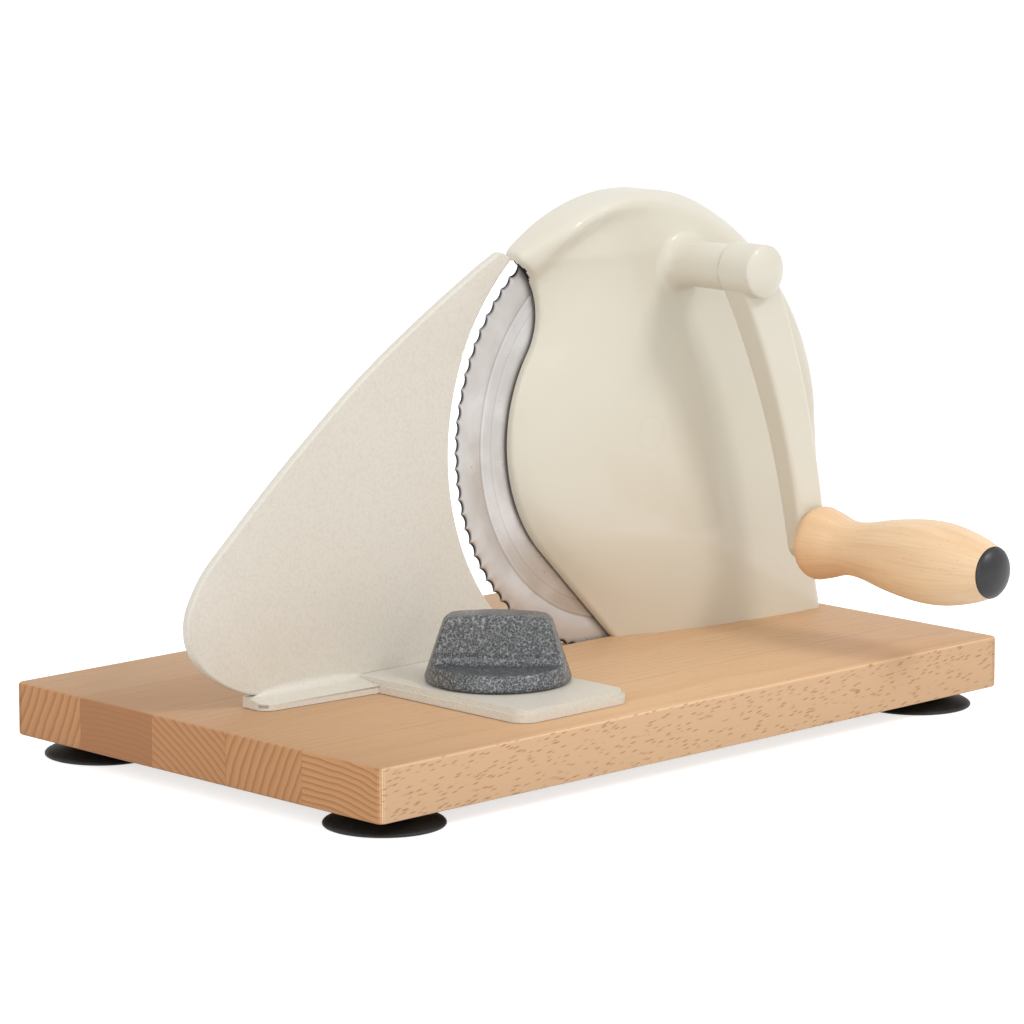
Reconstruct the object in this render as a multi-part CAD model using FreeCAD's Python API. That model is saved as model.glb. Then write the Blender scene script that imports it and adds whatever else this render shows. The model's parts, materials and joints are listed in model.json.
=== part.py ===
"""Hand cranked bread slicer: a beech board on suction feet, a cast gear housing with a
serrated round blade, a crank with a turned grip, and a sliding stop plate that a knob sets.

Sizes are in millimetres. The pieces are drawn from the corner of the board: x runs along
the board's long side, y from its front edge to the back, and z is 0 on its top face. The
place() function moves them to the part's own frame, whose origin is at the centre of the
whole part's footprint, on the table."""

import FreeCAD, Part
import math
import os

V = FreeCAD.Vector

# Board and feet
board_length = 350.0
board_width = 214.0
board_thickness = 21.5
board_edge_round = 3.0
board_top_break = 0.8
foot_radius = 23.5
foot_height = 7.5
foot_inset = 24.5
foot_neck_radius = 11.0
foot_lip = 1.3
foot_screw_radius = 2.0
foot_screw_length = 16.0
foot_screw_head_radius = 4.2
foot_screw_head_height = 2.4

# Blade, its gear and its axle
blade_radius = 92.5
blade_thickness = 1.3
blade_z = 86.8
blade_front_y = 114.0
blade_teeth = 90
tooth_depth = 1.3
bevel_width = 3.4
edge_land = 0.35
gear_module = 1.5
gear_teeth = 72
pinion_teeth = 24
gear_thickness = 3.0
pinion_thickness = 4.2
backlash = 0.16
gear_hub_radius = 13.0
gear_hub_length = 5.6
spigot_radius = 8.0
axle_radius = 6.0
axle_seat_radius = 9.0
axle_seat_length = 2.0
axle_stud_radius = 4.0
axle_stud_length = 8.0
running_gap = 0.05
side_gap = 0.3
rivet_count = 5
rivet_circle = 19.0
rivet_radius = 2.0
rivet_head_radius = 3.4
rivet_head_height = 1.0
gear_window_count = 6
gear_window_radius = 8.5
gear_window_circle = 36.0
blade_screw_head_radius = 11.0
blade_screw_head_height = 2.2
blade_screw_crown = 1.2
blade_screw_radius = 2.5
blade_screw_length = 7.5
blade_screw_slot = 1.6
blade_washer_radius = 9.5
blade_washer_thickness = 0.7

# Housing
wall = 3.0
rim_over_blade = 7.5
rim_draft = 1.7
rim_back_y = 117.0
window_over_gear = 9.5
notch_radius = 27.0
notch_angle = 145.5
beak_under_angle = 52.0
beak_angle = 127.0
side_foot_x = 344.0
side_x = 341.0
flare_height = 14.0
edge_thickness = 1.5
lip_gap = 1.2
wedge_depth = 21.5
wedge_length = 47.0
lip_depth = 4.5
lip_length = 5.0
hood_depth = 15.0
hood_inner_drop = 20.0
hood_outer_drop = 3.0
rim_roll_low = 3.5
rim_roll_gain = 11.5
floor_thickness = 5.0
boss_radius = 9.6
boss_root_radius = 11.5
boss_end_y = 65.9
inner_boss_radius = 9.0
housing_screw_xs = (282.0, 305.0, 328.0)
housing_screw_y = 107.0
housing_boss_radius = 5.2
housing_boss_height = 20.0
housing_screw_radius = 2.5
housing_screw_length = 28.0
housing_screw_head_radius = 4.5
housing_screw_head_height = 3.4
housing_washer_radius = 5.2
housing_washer_thickness = 1.0
counterbore_radius = 5.6
counterbore_depth = 5.5

# Crank
crank_offset_x = 18.5
crank_radius = 124.0
crank_angle = -71.0
shaft_radius = 4.0
bush_radius = 5.6
bush_length = 12.0
bush_flange_radius = 7.5
bush_flange_thickness = 0.9
thrust_washer_radius = 8.8
thrust_washer_thickness = 0.6
hub_radius = 11.0
hub_length = 19.5
hub_dome = 3.0
hub_floor = 5.0
arm_back_y = 65.0
arm_end_radius = 8.0
arm_root_front_y = 53.0
arm_end_front_y = 56.5
arm_bow = 5.0
arm_mid_half_width = 8.8
arm_edge_round = 2.0
set_screw_radius = 2.5
set_screw_length = 6.0
set_screw_socket = 1.25

# Grip
spindle_radius = 4.0
spindle_rivet_radius = 6.0
spindle_rivet_height = 1.5
spindle_thread_radius = 3.0
grip_start_y = 56.0
grip_length = 96.0
grip_radius = 17.0
grip_collar_round = 2.6
grip_counterbore_radius = 7.6
grip_counterbore_depth = 16.0
grip_washer_radius = 6.8
grip_washer_thickness = 1.0
grip_nut_width = 10.0
grip_nut_height = 5.0
cap_radius = 10.4
cap_dome = 3.8
cap_spigot_length = 4.0

# Stop plate
plate_thickness = 4.0
plate_back_y = 114.4
plate_arc_radius = 640.0
plate_left_point = (9.4, 53.1)
plate_tip_angle = 130.26
plate_tip_width = 3.5
plate_tip_rise = 3.3
plate_bottom_z = 4.5
plate_left_round = 33.0
plate_gap = 7.0
tip_round = 2.2
plate_edge_round = 1.2
slide_gap = 0.2
strip_left_x = 33.0
strip_left_y = 101.5
strip_right_y = 95.5
tongue_left_x = 88.5
tongue_right_x = 148.5
tongue_front_y = 15.3
tongue_round = 8.0
lower_layer = 3.0
upper_layer = 2.0
layer_inset = 1.5
stop_travel = 15.0

# Knob that sets the stop plate
knob_x = 123.0
knob_y = 65.0
knob_radius = 29.2
knob_top_radius = 21.5
knob_height = 27.0
knob_crown = 1.2
knob_ledge = 7.0
bar_half_width = 6.5
bar_draft = 0.10
bar_cove = 4.0
bar_angle = -47.0
knob_gap = 0.3
scroll_start_radius = 23.5
scroll_turn = 300.0
scroll_depth = 3.6
scroll_clearance = 0.15
follower_radius = 2.0
follower_rise = 2.8
guide_bush_radius = 4.5
guide_pin_radius = 4.5
guide_spacing = 11.0
guide_clearance = 0.15
stud_radius = 3.0
stud_grip = 12.0
stud_thread = 7.0
stud_washer_radius = 8.0
stud_washer_thickness = 1.2
stud_nut_width = 10.0
stud_nut_height = 5.0
stud_recess_radius = 9.0
stud_recess_depth = 9.0

# Worked out from the sizes above
rim_outer_radius = blade_radius + rim_over_blade
window_radius = gear_module * (gear_teeth / 2 + 1) + window_over_gear
hood_inner_radius = rim_outer_radius - hood_inner_drop
hood_outer_radius = rim_outer_radius - hood_outer_drop
blade_x = side_x - rim_draft - rim_outer_radius
crank_centres = gear_module * (gear_teeth + pinion_teeth) / 2
crank_x = blade_x + crank_offset_x
crank_z = blade_z + math.sqrt(crank_centres**2 - crank_offset_x**2)
centres_angle = math.degrees(math.atan2(crank_z - blade_z, crank_offset_x))
grip_x = crank_x + crank_radius * math.cos(math.radians(crank_angle))
grip_z = crank_z + crank_radius * math.sin(math.radians(crank_angle))
grip_end_y = grip_start_y - grip_length
cap_end_y = grip_end_y - cap_dome
blade_back_y = blade_front_y + blade_thickness
edge_back_y = blade_front_y - lip_gap
edge_front_y = edge_back_y - edge_thickness
gear_front_y = blade_front_y - gear_thickness
hub_front_y = blade_front_y - gear_hub_length
axle_seat_y = hub_front_y - side_gap
pinion_back_y = blade_front_y - 2 * side_gap
pinion_front_y = pinion_back_y - pinion_thickness
bush_inner_y = pinion_front_y - side_gap
flange_top_z = slide_gap + lower_layer + upper_layer
knob_bottom_z = flange_top_z + knob_gap
scroll_lead = stop_travel / scroll_turn
blade_clear_radius = rim_outer_radius - wall
plate_clear_radius = blade_radius + plate_gap
plate_tip_x = blade_x + plate_clear_radius * math.cos(math.radians(plate_tip_angle))
plate_tip_low_z = blade_z + plate_clear_radius * math.sin(math.radians(plate_tip_angle))
blade_centre = V(blade_x, 0, blade_z)
crank_centre = V(crank_x, 0, crank_z)
grip_centre = V(grip_x, 0, grip_z)

to_part = V(-board_length / 2, -(board_width + cap_end_y) / 2, board_thickness + foot_height)


def place(name, shape):
    """Moves a piece to the part's own frame and writes its file."""
    shape = shape.copy()
    shape.translate(to_part)
    shape.exportStep("parts/%s.step" % name)


def turn(angle):
    """Unit vector at an angle in the x-z plane, counted from x towards z."""
    return V(math.cos(math.radians(angle)), 0, math.sin(math.radians(angle)))


def arc(start, middle, end):
    return Part.Arc(start, middle, end).toShape()


def line(start, end):
    return Part.LineSegment(start, end).toShape()


def rod(radius, centre, start_y, end_y):
    """Cylinder along y between two stations."""
    base = V(centre.x, start_y, centre.z)
    return Part.makeCylinder(radius, end_y - start_y, base, V(0, 1, 0))


def post(radius, x, y, low_z, high_z):
    """Upright cylinder between two heights."""
    return Part.makeCylinder(radius, high_z - low_z, V(x, y, low_z))


def turned(profile, centre):
    """Solid turned about an axis along y; the profile is (radius, y) pairs or Arc edges."""
    face = Part.Face(Part.Wire(profile))
    return face.revolve(centre, V(0, 1, 0), 360)


def ring_path(points, centre):
    """Closed straight-sided profile for turned(), from (radius, y) pairs."""
    corners = [V(centre.x + r, y, centre.z) for r, y in points]
    return Part.makePolygon(corners + corners[:1]).Edges


def hex_prism(width, x, y, z, direction, length):
    """Hexagonal nut blank, width across the flats, about the y or z axis."""
    corner = width / math.sqrt(3)
    points = []
    for i in range(7):
        a = math.radians(60 * i)
        if direction == "y":
            points.append(V(x + corner * math.cos(a), y, z + corner * math.sin(a)))
        else:
            points.append(V(x + corner * math.cos(a), y + corner * math.sin(a), z))
    step = V(0, length, 0) if direction == "y" else V(0, 0, length)
    return Part.Face(Part.makePolygon(points)).extrude(step)


def edges_along(shape, direction):
    """Straight edges that run along a direction."""
    found = []
    for edge in shape.Edges:
        if isinstance(edge.Curve, Part.Line):
            run = edge.Vertexes[-1].Point - edge.Vertexes[0].Point
            if abs(run.normalize().dot(direction)) > 0.999:
                found.append(edge)
    return found


def dome_drop(rim, rise, radius):
    """How far a spherical dome, rise high over a rim, has dropped at a radius from its pole."""
    sphere = (rim**2 + rise**2) / (2 * rise)
    return sphere - math.sqrt(sphere**2 - radius**2)


def foot_places():
    inner = foot_inset
    far_x = board_length - foot_inset
    far_y = board_width - foot_inset
    return {
        "foot_front_left": (inner, inner),
        "foot_front_right": (far_x, inner),
        "foot_back_left": (inner, far_y),
        "foot_back_right": (far_x, far_y),
    }


def make_board():
    """Glued beech board with rounded corners, the blade's slot and the holes for its fittings."""
    board = Part.makeBox(board_length, board_width, board_thickness, V(0, 0, -board_thickness))
    board = board.makeFillet(board_edge_round, edges_along(board, V(0, 0, 1)))
    rims = [e for e in board.Edges if abs(e.BoundBox.ZLength) < 0.01]
    board = board.makeChamfer(board_top_break, rims)
    slot = rod(blade_radius + wall, blade_centre, edge_back_y - side_gap, blade_back_y + 3 * side_gap)
    board = board.cut(slot)
    for x in housing_screw_xs:
        hole = post(housing_screw_radius + running_gap, x, housing_screw_y, -board_thickness, 0)
        bore = post(counterbore_radius, x, housing_screw_y, -board_thickness, counterbore_depth - board_thickness)
        board = board.cut([hole, bore])
    for x, y in foot_places().values():
        depth = foot_screw_length - foot_screw_head_height
        board = board.cut(post(foot_screw_radius, x, y, -board_thickness, depth - board_thickness))
    stud_recess = post(stud_recess_radius, knob_x, knob_y, -board_thickness, stud_recess_depth - board_thickness)
    bush_hole = post(guide_bush_radius, knob_x, knob_y, stud_recess_depth - board_thickness, 0)
    pin_hole = post(guide_pin_radius, knob_x, knob_y - guide_spacing, -board_thickness / 2, 0)
    return board.cut([stud_recess, bush_hole, pin_hole])


def make_foot(x, y):
    """Rubber suction cup: a neck under the board that flares to a thin lip on the table."""
    top = -board_thickness
    table = top - foot_height
    outer_r = foot_radius
    waist = V(x + foot_neck_radius, y, top - 2.2)
    lip_top = V(x + outer_r, y, table + foot_lip)
    lip_out = V(x + outer_r, y, table)
    lip_in = V(x + outer_r - foot_lip, y, table)
    dome_side = V(x + 0.62 * outer_r, y, table + 2.3)
    dome_top = V(x + foot_screw_head_radius + 1.0, y, table + 3.0)
    bore_r = foot_screw_radius + running_gap
    edges = [
        line(V(x + bore_r, y, top), V(x + foot_neck_radius, y, top)),
        line(V(x + foot_neck_radius, y, top), waist),
        arc(waist, V(x + 0.72 * outer_r, y, table + 3.4), lip_top),
        line(lip_top, lip_out),
        line(lip_out, lip_in),
        arc(lip_in, dome_side, dome_top),
        line(dome_top, V(x + bore_r, y, table + 3.0)),
        line(V(x + bore_r, y, table + 3.0), V(x + bore_r, y, top)),
    ]
    return Part.Face(Part.Wire(edges)).revolve(V(x, y, 0), V(0, 0, 1), 360)


def make_foot_screws():
    """One wood screw up through each foot into the board."""
    screws = []
    for x, y in foot_places().values():
        seat = 3.0 - board_thickness - foot_height
        shank = post(foot_screw_radius, x, y, seat, seat + foot_screw_length - foot_screw_head_height)
        head = post(foot_screw_head_radius, x, y, seat - foot_screw_head_height, seat)
        slot = Part.makeBox(2 * foot_screw_head_radius, 1.0, 1.0,
                            V(x - foot_screw_head_radius, y - 0.5, seat - foot_screw_head_height))
        screws.append(shank.fuse(head).cut(slot))
    return Part.makeCompound(screws)


def window_edge_x(z):
    """Left edge of the housing's face, in front of the blade, at a height."""
    low = blade_z - window_radius * math.sin(math.radians(45))
    notch = blade_centre + turn(notch_angle) * (window_radius + notch_radius)
    high = blade_z + window_radius * math.sin(math.radians(notch_angle))
    if z < low:
        return blade_x - window_radius * math.cos(math.radians(45)) + (low - z)
    if z < high:
        return blade_x - math.sqrt(window_radius**2 - (z - blade_z) ** 2)
    rise = min(abs(z - notch.z), 0.85 * notch_radius)
    return notch.x + math.sqrt(notch_radius**2 - rise**2)


def smooth_step(value):
    value = min(1.0, max(0.0, value))
    return value * value * (3 - 2 * value)


def face_depth(x, z):
    """How far the housing's face stands in front of its thin left edge.

    It is a wedge that pushes the slice away from the blade, with a quick rise behind the
    edge at blade height, and a hood that comes forward again over the top."""
    run = max(0.0, x - window_edge_x(z))
    lip = lip_depth * smooth_step(z / 45.0) * (1 - 0.6 * smooth_step((z - 120.0) / 45.0))
    wedge = (wedge_depth - lip) * (1 - math.exp(-run / wedge_length)) + lip * (1 - math.exp(-run / lip_length))
    radius = math.hypot(x - blade_x, z - blade_z)
    beak_x = blade_x + rim_outer_radius * math.cos(math.radians(beak_angle))
    reach = math.sqrt(smooth_step((x - beak_x + 3.0) / 26.0))
    over = 1.0 if z > blade_z else 0.0
    hood = over * hood_depth * reach * smooth_step((radius - hood_inner_radius) / (hood_outer_radius - hood_inner_radius))
    gap = wedge - hood
    front = (wedge + hood + math.sqrt(gap * gap + 3.0)) / 2 - 0.4
    width = rim_roll_low + rim_roll_gain * smooth_step((z - 50.0) / 120.0) * smooth_step((x - blade_x + 20.0) / 70.0)
    draft = rim_draft * min(1.0, (blade_z - z) / (blade_z - flare_height))
    side = blade_x + rim_outer_radius + draft + (side_foot_x - side_x) * (1 - smooth_step(z / flare_height))
    inside = rim_outer_radius - radius if z > blade_z else side - x
    share = min(1.25, max(0.0, 1 - inside / width))
    return front - min(width, front - 1.0) * share**2.5


def face_cutter(shift):
    """Everything in front of the housing's face, moved back by shift."""
    x_low = window_edge_x(blade_z) - 8.0
    x_high = side_foot_x + 8.0
    z_high = blade_z + rim_outer_radius + 6.0
    columns = 34
    rows = 35
    grid = []
    for i in range(columns):
        x = x_low + (x_high - x_low) * i / (columns - 1)
        column = []
        for j in range(rows):
            z = -6.0 + (z_high + 6.0) * j / (rows - 1)
            column.append(V(x, edge_front_y - face_depth(x, z) + shift, z))
        grid.append(column)
    surface = Part.BSplineSurface()
    surface.interpolate(grid)
    return surface.toShape().extrude(V(0, -60, 0))


def housing_outline(inset, foot_z):
    """Closed outline of the housing seen from the front, drawn in by inset."""
    low = window_radius - inset
    notch = blade_centre + turn(notch_angle) * (window_radius + notch_radius)
    notch_r = notch_radius + inset
    outer_r = rim_outer_radius - inset
    corner = blade_centre + turn(225) * low
    foot_left = V(corner.x + corner.z - foot_z, 0, foot_z)
    tangent = blade_centre + turn(notch_angle) * low
    beak_low = notch + turn(beak_under_angle - 5.0 * inset) * notch_r
    beak_high = blade_centre + turn(beak_angle - 4.0 * inset) * outer_r
    tip = (beak_low + beak_high) * 0.5 - V(2.0 if inset == 0 else -1.0, 0, 0)
    side = V(side_x - inset, 0, flare_height)
    foot_right = V(side_foot_x - inset, 0, foot_z)
    flare = V(side_x - inset + 0.25 * (side_foot_x - side_x), 0, (flare_height + foot_z) / 2)
    edges = [
        line(foot_left, corner),
        arc(corner, blade_centre - V(low, 0, 0), tangent),
        arc(tangent, notch + turn(0) * notch_r, beak_low),
        arc(beak_low, tip, beak_high),
        arc(beak_high, blade_centre + turn(60) * outer_r, blade_centre + V(outer_r, 0, 0)),
        line(blade_centre + V(outer_r, 0, 0), side),
        arc(side, flare, foot_right),
        line(foot_right, foot_left),
    ]
    return Part.Face(Part.Wire(edges))


def make_housing():
    """Cast cover over the gears: a thin wall with a wedge-shaped face, open to the blade behind."""
    y_low = edge_front_y - 2 * wedge_depth
    shell = housing_outline(0.0, 0.0)
    shell.translate(V(0, y_low, 0))
    shell = shell.extrude(V(0, rim_back_y - y_low, 0))
    shell = shell.cut(face_cutter(0.0))
    cavity = housing_outline(wall, floor_thickness)
    cavity.translate(V(0, y_low, 0))
    cavity = cavity.extrude(V(0, rim_back_y + wall - y_low, 0))
    cavity = cavity.cut(face_cutter(wall))
    shell = shell.cut(cavity)
    shell = shell.cut(rod(blade_clear_radius, blade_centre, edge_back_y, rim_back_y + wall))
    face_y = edge_front_y - face_depth(crank_x, crank_z)
    boss = turned(ring_path([(0, boss_end_y), (boss_radius, boss_end_y), (boss_radius, face_y - 6.0),
                             (boss_root_radius, face_y + wall), (inner_boss_radius, face_y + wall),
                             (inner_boss_radius, bush_inner_y - bush_flange_thickness), (0, bush_inner_y - bush_flange_thickness)],
                            crank_centre), crank_centre)
    axle_face_y = edge_front_y - face_depth(blade_x, blade_z)
    axle_boss = rod(axle_seat_radius, blade_centre, axle_face_y + wall / 2, axle_seat_y - axle_seat_length)
    bosses = [boss, axle_boss]
    for x in housing_screw_xs:
        bosses.append(post(housing_boss_radius, x, housing_screw_y, 0, housing_boss_height))
    shell = shell.fuse(bosses)
    holes = [rod(bush_radius, crank_centre, boss_end_y, bush_inner_y)]
    stud_y = axle_seat_y - axle_seat_length
    holes.append(rod(axle_stud_radius, blade_centre, stud_y - axle_stud_length, stud_y))
    for x in housing_screw_xs:
        holes.append(post(housing_screw_radius, x, housing_screw_y, 0, housing_boss_height - 2.0))
    return shell.cut(holes).removeSplitter()


def make_housing_screws():
    """Screws up through the board into the housing's foot bosses, on washers."""
    seat = counterbore_depth - board_thickness - housing_washer_thickness
    screws = []
    washers = []
    for x in housing_screw_xs:
        washer = post(housing_washer_radius, x, housing_screw_y, seat, seat + housing_washer_thickness)
        washers.append(washer.cut(post(housing_screw_radius, x, housing_screw_y, seat, seat + housing_washer_thickness)))
        head_low = seat - housing_screw_head_height
        head = post(housing_screw_head_radius, x, housing_screw_y, head_low, seat)
        shank = post(housing_screw_radius, x, housing_screw_y, seat, seat + housing_screw_length)
        socket = hex_prism(4.0, x, housing_screw_y, head_low, "z", 2.0)
        screws.append(shank.fuse(head).cut(socket))
    return Part.makeCompound(screws), Part.makeCompound(washers)


def gear_outline(teeth, phase, thin):
    """Involute gear outline about the origin in the x-z plane; phase turns it, thin narrows the teeth."""
    pitch = gear_module * teeth / 2
    tip = pitch + gear_module
    root = pitch - 1.25 * gear_module
    base = pitch * math.cos(math.radians(20))

    def spread(radius):
        if radius <= base:
            return 0.0
        a = math.acos(base / radius)
        return math.tan(a) - a

    half = math.pi / (2 * teeth) - thin / (2 * pitch)
    flank = [root, max(base, root + 0.4), pitch, tip]
    points = []
    for i in range(teeth):
        middle = 2 * math.pi * i / teeth + math.radians(phase)
        for radius in flank:
            angle = middle - half - spread(pitch) + spread(radius)
            points.append(V(radius * math.cos(angle), 0, radius * math.sin(angle)))
        for radius in reversed(flank):
            angle = middle + half + spread(pitch) - spread(radius)
            points.append(V(radius * math.cos(angle), 0, radius * math.sin(angle)))
    return Part.Face(Part.makePolygon(points + points[:1]))


def make_blade():
    """Round blade with a scalloped edge, ground on its front side."""
    points = []
    step = 360.0 / blade_teeth
    edges = []
    for i in range(blade_teeth):
        start = blade_centre + turn(i * step) * blade_radius
        valley = blade_centre + turn((i + 0.5) * step) * (blade_radius - tooth_depth)
        end = blade_centre + turn((i + 1) * step) * blade_radius
        edges.append(arc(start, valley, end))
    disc = Part.Face(Part.Wire(edges))
    disc.translate(V(0, blade_front_y, 0))
    disc = disc.extrude(V(0, blade_thickness, 0))
    inner = blade_radius - tooth_depth - bevel_width
    outer = blade_radius + 1.0
    slope = (blade_thickness - edge_land) / (blade_radius - inner)
    grind = turned(ring_path([(inner, blade_front_y), (outer + 1, blade_front_y - 1.0), (outer + 1, blade_front_y + slope * (outer + 1 - inner))],
                             blade_centre), blade_centre)
    disc = disc.cut(grind)
    holes = [rod(spigot_radius, blade_centre, blade_front_y, blade_back_y)]
    for i in range(rivet_count):
        spot = blade_centre + turn(90 + 360.0 * i / rivet_count) * rivet_circle
        holes.append(rod(rivet_radius, spot, blade_front_y, blade_back_y))
    return disc.cut(holes)


def make_blade_gear():
    """Drive gear on the blade's front, with a hub that runs on the axle and lightening windows."""
    gear = gear_outline(gear_teeth, centres_angle, backlash / 2)
    gear.translate(blade_centre + V(0, gear_front_y, 0))
    gear = gear.extrude(V(0, gear_thickness, 0))
    hub = rod(gear_hub_radius, blade_centre, hub_front_y, blade_front_y)
    spigot = rod(spigot_radius, blade_centre, blade_front_y, blade_back_y)
    gear = gear.fuse([hub, spigot])
    holes = [rod(axle_radius + running_gap, blade_centre, hub_front_y, blade_back_y)]
    for i in range(rivet_count):
        spot = blade_centre + turn(90 + 360.0 * i / rivet_count) * rivet_circle
        holes.append(rod(rivet_radius, spot, gear_front_y, blade_front_y))
    for i in range(gear_window_count):
        spot = blade_centre + turn(90 + 360.0 * i / gear_window_count) * gear_window_circle
        holes.append(rod(gear_window_radius, spot, gear_front_y, blade_front_y))
    return gear.cut(holes)


def make_gear_rivets():
    """Rivets that hold the gear on the blade: a head on the gear, flush at the blade's back."""
    rivets = []
    for i in range(rivet_count):
        spot = blade_centre + turn(90 + 360.0 * i / rivet_count) * rivet_circle
        shank = rod(rivet_radius, spot, gear_front_y, blade_back_y)
        head = rod(rivet_head_radius, spot, gear_front_y - rivet_head_height, gear_front_y)
        rivets.append(shank.fuse(head))
    return Part.makeCompound(rivets)


def make_blade_axle():
    """Shouldered axle screwed into the housing; the gear's hub runs on it."""
    stud_y = axle_seat_y - axle_seat_length
    axle = rod(axle_stud_radius, blade_centre, stud_y - axle_stud_length, stud_y)
    seat = rod(axle_seat_radius, blade_centre, stud_y, axle_seat_y)
    journal = rod(axle_radius, blade_centre, axle_seat_y, blade_back_y + side_gap)
    axle = axle.fuse([seat, journal])
    return axle.cut(rod(blade_screw_radius, blade_centre, blade_back_y + side_gap - blade_screw_length, blade_back_y + side_gap))


def make_blade_screw():
    """Low slotted screw and its washer that hold the blade on the axle."""
    seat = blade_back_y + side_gap
    washer = rod(blade_washer_radius, blade_centre, seat, seat + blade_washer_thickness)
    washer = washer.cut(rod(blade_screw_radius, blade_centre, seat, seat + blade_washer_thickness))
    low = seat + blade_washer_thickness
    high = low + blade_screw_head_height
    rim = V(blade_x + blade_screw_head_radius, low, blade_z)
    shoulder = V(blade_x + blade_screw_head_radius, high - blade_screw_crown, blade_z)
    half = blade_screw_head_radius / 2
    dome = V(blade_x + half, high - dome_drop(blade_screw_head_radius, blade_screw_crown, half), blade_z)
    top = V(blade_x, high, blade_z)
    middle = V(blade_x, low, blade_z)
    head = turned([line(middle, rim), line(rim, shoulder), arc(shoulder, dome, top), line(top, middle)], blade_centre)
    shank = rod(blade_screw_radius, blade_centre, seat - blade_screw_length + 1.0, low)
    slot = Part.makeBox(2.4 * blade_screw_head_radius, blade_screw_slot, 2.0,
                        V(blade_x - 1.2 * blade_screw_head_radius, high - blade_screw_slot, blade_z - 1.0))
    return head.fuse(shank).cut(slot), washer


def make_crank_bushes():
    """Bronze bushes at the two ends of the housing's crank boss; the inner one has a flange."""
    bore = shaft_radius + running_gap
    front = rod(bush_radius, crank_centre, boss_end_y, boss_end_y + bush_length)
    front = front.cut(rod(bore, crank_centre, boss_end_y, boss_end_y + bush_length))
    flange_y = bush_inner_y - bush_flange_thickness
    rear = rod(bush_radius, crank_centre, flange_y - bush_length, flange_y)
    rear = rear.fuse(rod(bush_flange_radius, crank_centre, flange_y, bush_inner_y))
    rear = rear.cut(rod(bore, crank_centre, flange_y - bush_length, bush_inner_y))
    return front, rear


def make_crank_shaft():
    """Shaft from the arm's hub to the pinion."""
    return rod(shaft_radius, crank_centre, arm_back_y - hub_length + hub_floor, pinion_back_y)


def make_pinion():
    """Small gear on the crank shaft, in mesh with the blade gear."""
    phase = centres_angle + 180 + 180.0 / pinion_teeth
    pinion = gear_outline(pinion_teeth, phase, backlash / 2)
    pinion.translate(crank_centre + V(0, pinion_front_y, 0))
    pinion = pinion.extrude(V(0, pinion_thickness, 0))
    return pinion.cut(rod(shaft_radius, crank_centre, pinion_front_y, pinion_back_y))


def make_thrust_washer():
    """Thin washer between the arm's hub and the boss."""
    low = arm_back_y + (boss_end_y - arm_back_y - thrust_washer_thickness) / 2
    washer = rod(thrust_washer_radius, crank_centre, low, low + thrust_washer_thickness)
    return washer.cut(rod(shaft_radius, crank_centre, low, low + thrust_washer_thickness))


def along_arm(distance, side):
    """Point in the x-z plane, from the crank axis towards the grip and to the arm's outer side."""
    run = turn(crank_angle)
    out = turn(crank_angle + 90)
    return crank_centre + run * distance + out * side


def make_crank_arm():
    """Cast arm: a domed hub, a bowed and tapered bar, and an eye for the grip's spindle."""
    root = along_arm(0.0, -hub_radius + 0.4)
    root_out = along_arm(0.0, hub_radius - 0.4)
    end = along_arm(crank_radius, -arm_end_radius)
    end_out = along_arm(crank_radius, arm_end_radius)
    inner_mid = along_arm(crank_radius / 2, arm_bow - arm_mid_half_width)
    outer_mid = along_arm(crank_radius / 2, arm_bow + arm_mid_half_width)
    edges = [
        arc(root, inner_mid, end),
        arc(end, along_arm(crank_radius + arm_end_radius, 0.0), end_out),
        arc(end_out, outer_mid, root_out),
        line(root_out, root),
    ]
    bar = Part.Face(Part.Wire(edges))
    front_low = arm_root_front_y - 6.0
    bar.translate(V(0, front_low, 0))
    bar = bar.extrude(V(0, arm_back_y - front_low, 0))
    slope = (arm_end_front_y - arm_root_front_y) / crank_radius
    side = 3 * hub_radius
    corners = []
    for distance, depth in ((-side, arm_root_front_y - slope * side), (crank_radius + side, arm_end_front_y + slope * side),
                            (crank_radius + side, front_low - side), (-side, front_low - side)):
        spot = along_arm(distance, -side)
        corners.append(V(spot.x, depth, spot.z))
    cutter = Part.Face(Part.makePolygon(corners + corners[:1])).extrude(turn(crank_angle + 90) * (2 * side))
    bar = bar.cut(cutter)
    fronts = [e for e in bar.Edges if e.BoundBox.YMax < arm_end_front_y + 1.0 and e.Length > 3 * arm_edge_round]
    fronts = [e for e in fronts if (e.CenterOfMass - V(crank_x, e.CenterOfMass.y, crank_z)).Length > hub_radius]
    bar = bar.makeFillet(arm_edge_round, fronts)
    hub_front = arm_back_y - hub_length
    rim = V(crank_x + hub_radius, hub_front + hub_dome, crank_z)
    crown = V(crank_x + hub_radius / 2, hub_front + dome_drop(hub_radius, hub_dome, hub_radius / 2), crank_z)
    pole = V(crank_x, hub_front, crank_z)
    base = V(crank_x, arm_back_y, crank_z)
    base_rim = V(crank_x + hub_radius, arm_back_y, crank_z)
    hub = turned([arc(pole, crown, rim), line(rim, base_rim), line(base_rim, base), line(base, pole)], crank_centre)
    arm = bar.fuse(hub)
    screw_axis = turn(20)
    screw_y = arm_back_y - hub_length / 2
    screw_hole = Part.makeCylinder(set_screw_radius, hub_radius + 3.0, V(crank_x, screw_y, crank_z), screw_axis)
    shaft_hole = rod(shaft_radius, crank_centre, hub_front + hub_floor, arm_back_y)
    eye = rod(spindle_radius, grip_centre, arm_root_front_y - 2.0, arm_back_y + 1.0)
    return arm.cut([screw_hole, shaft_hole, eye]).removeSplitter()


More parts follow.
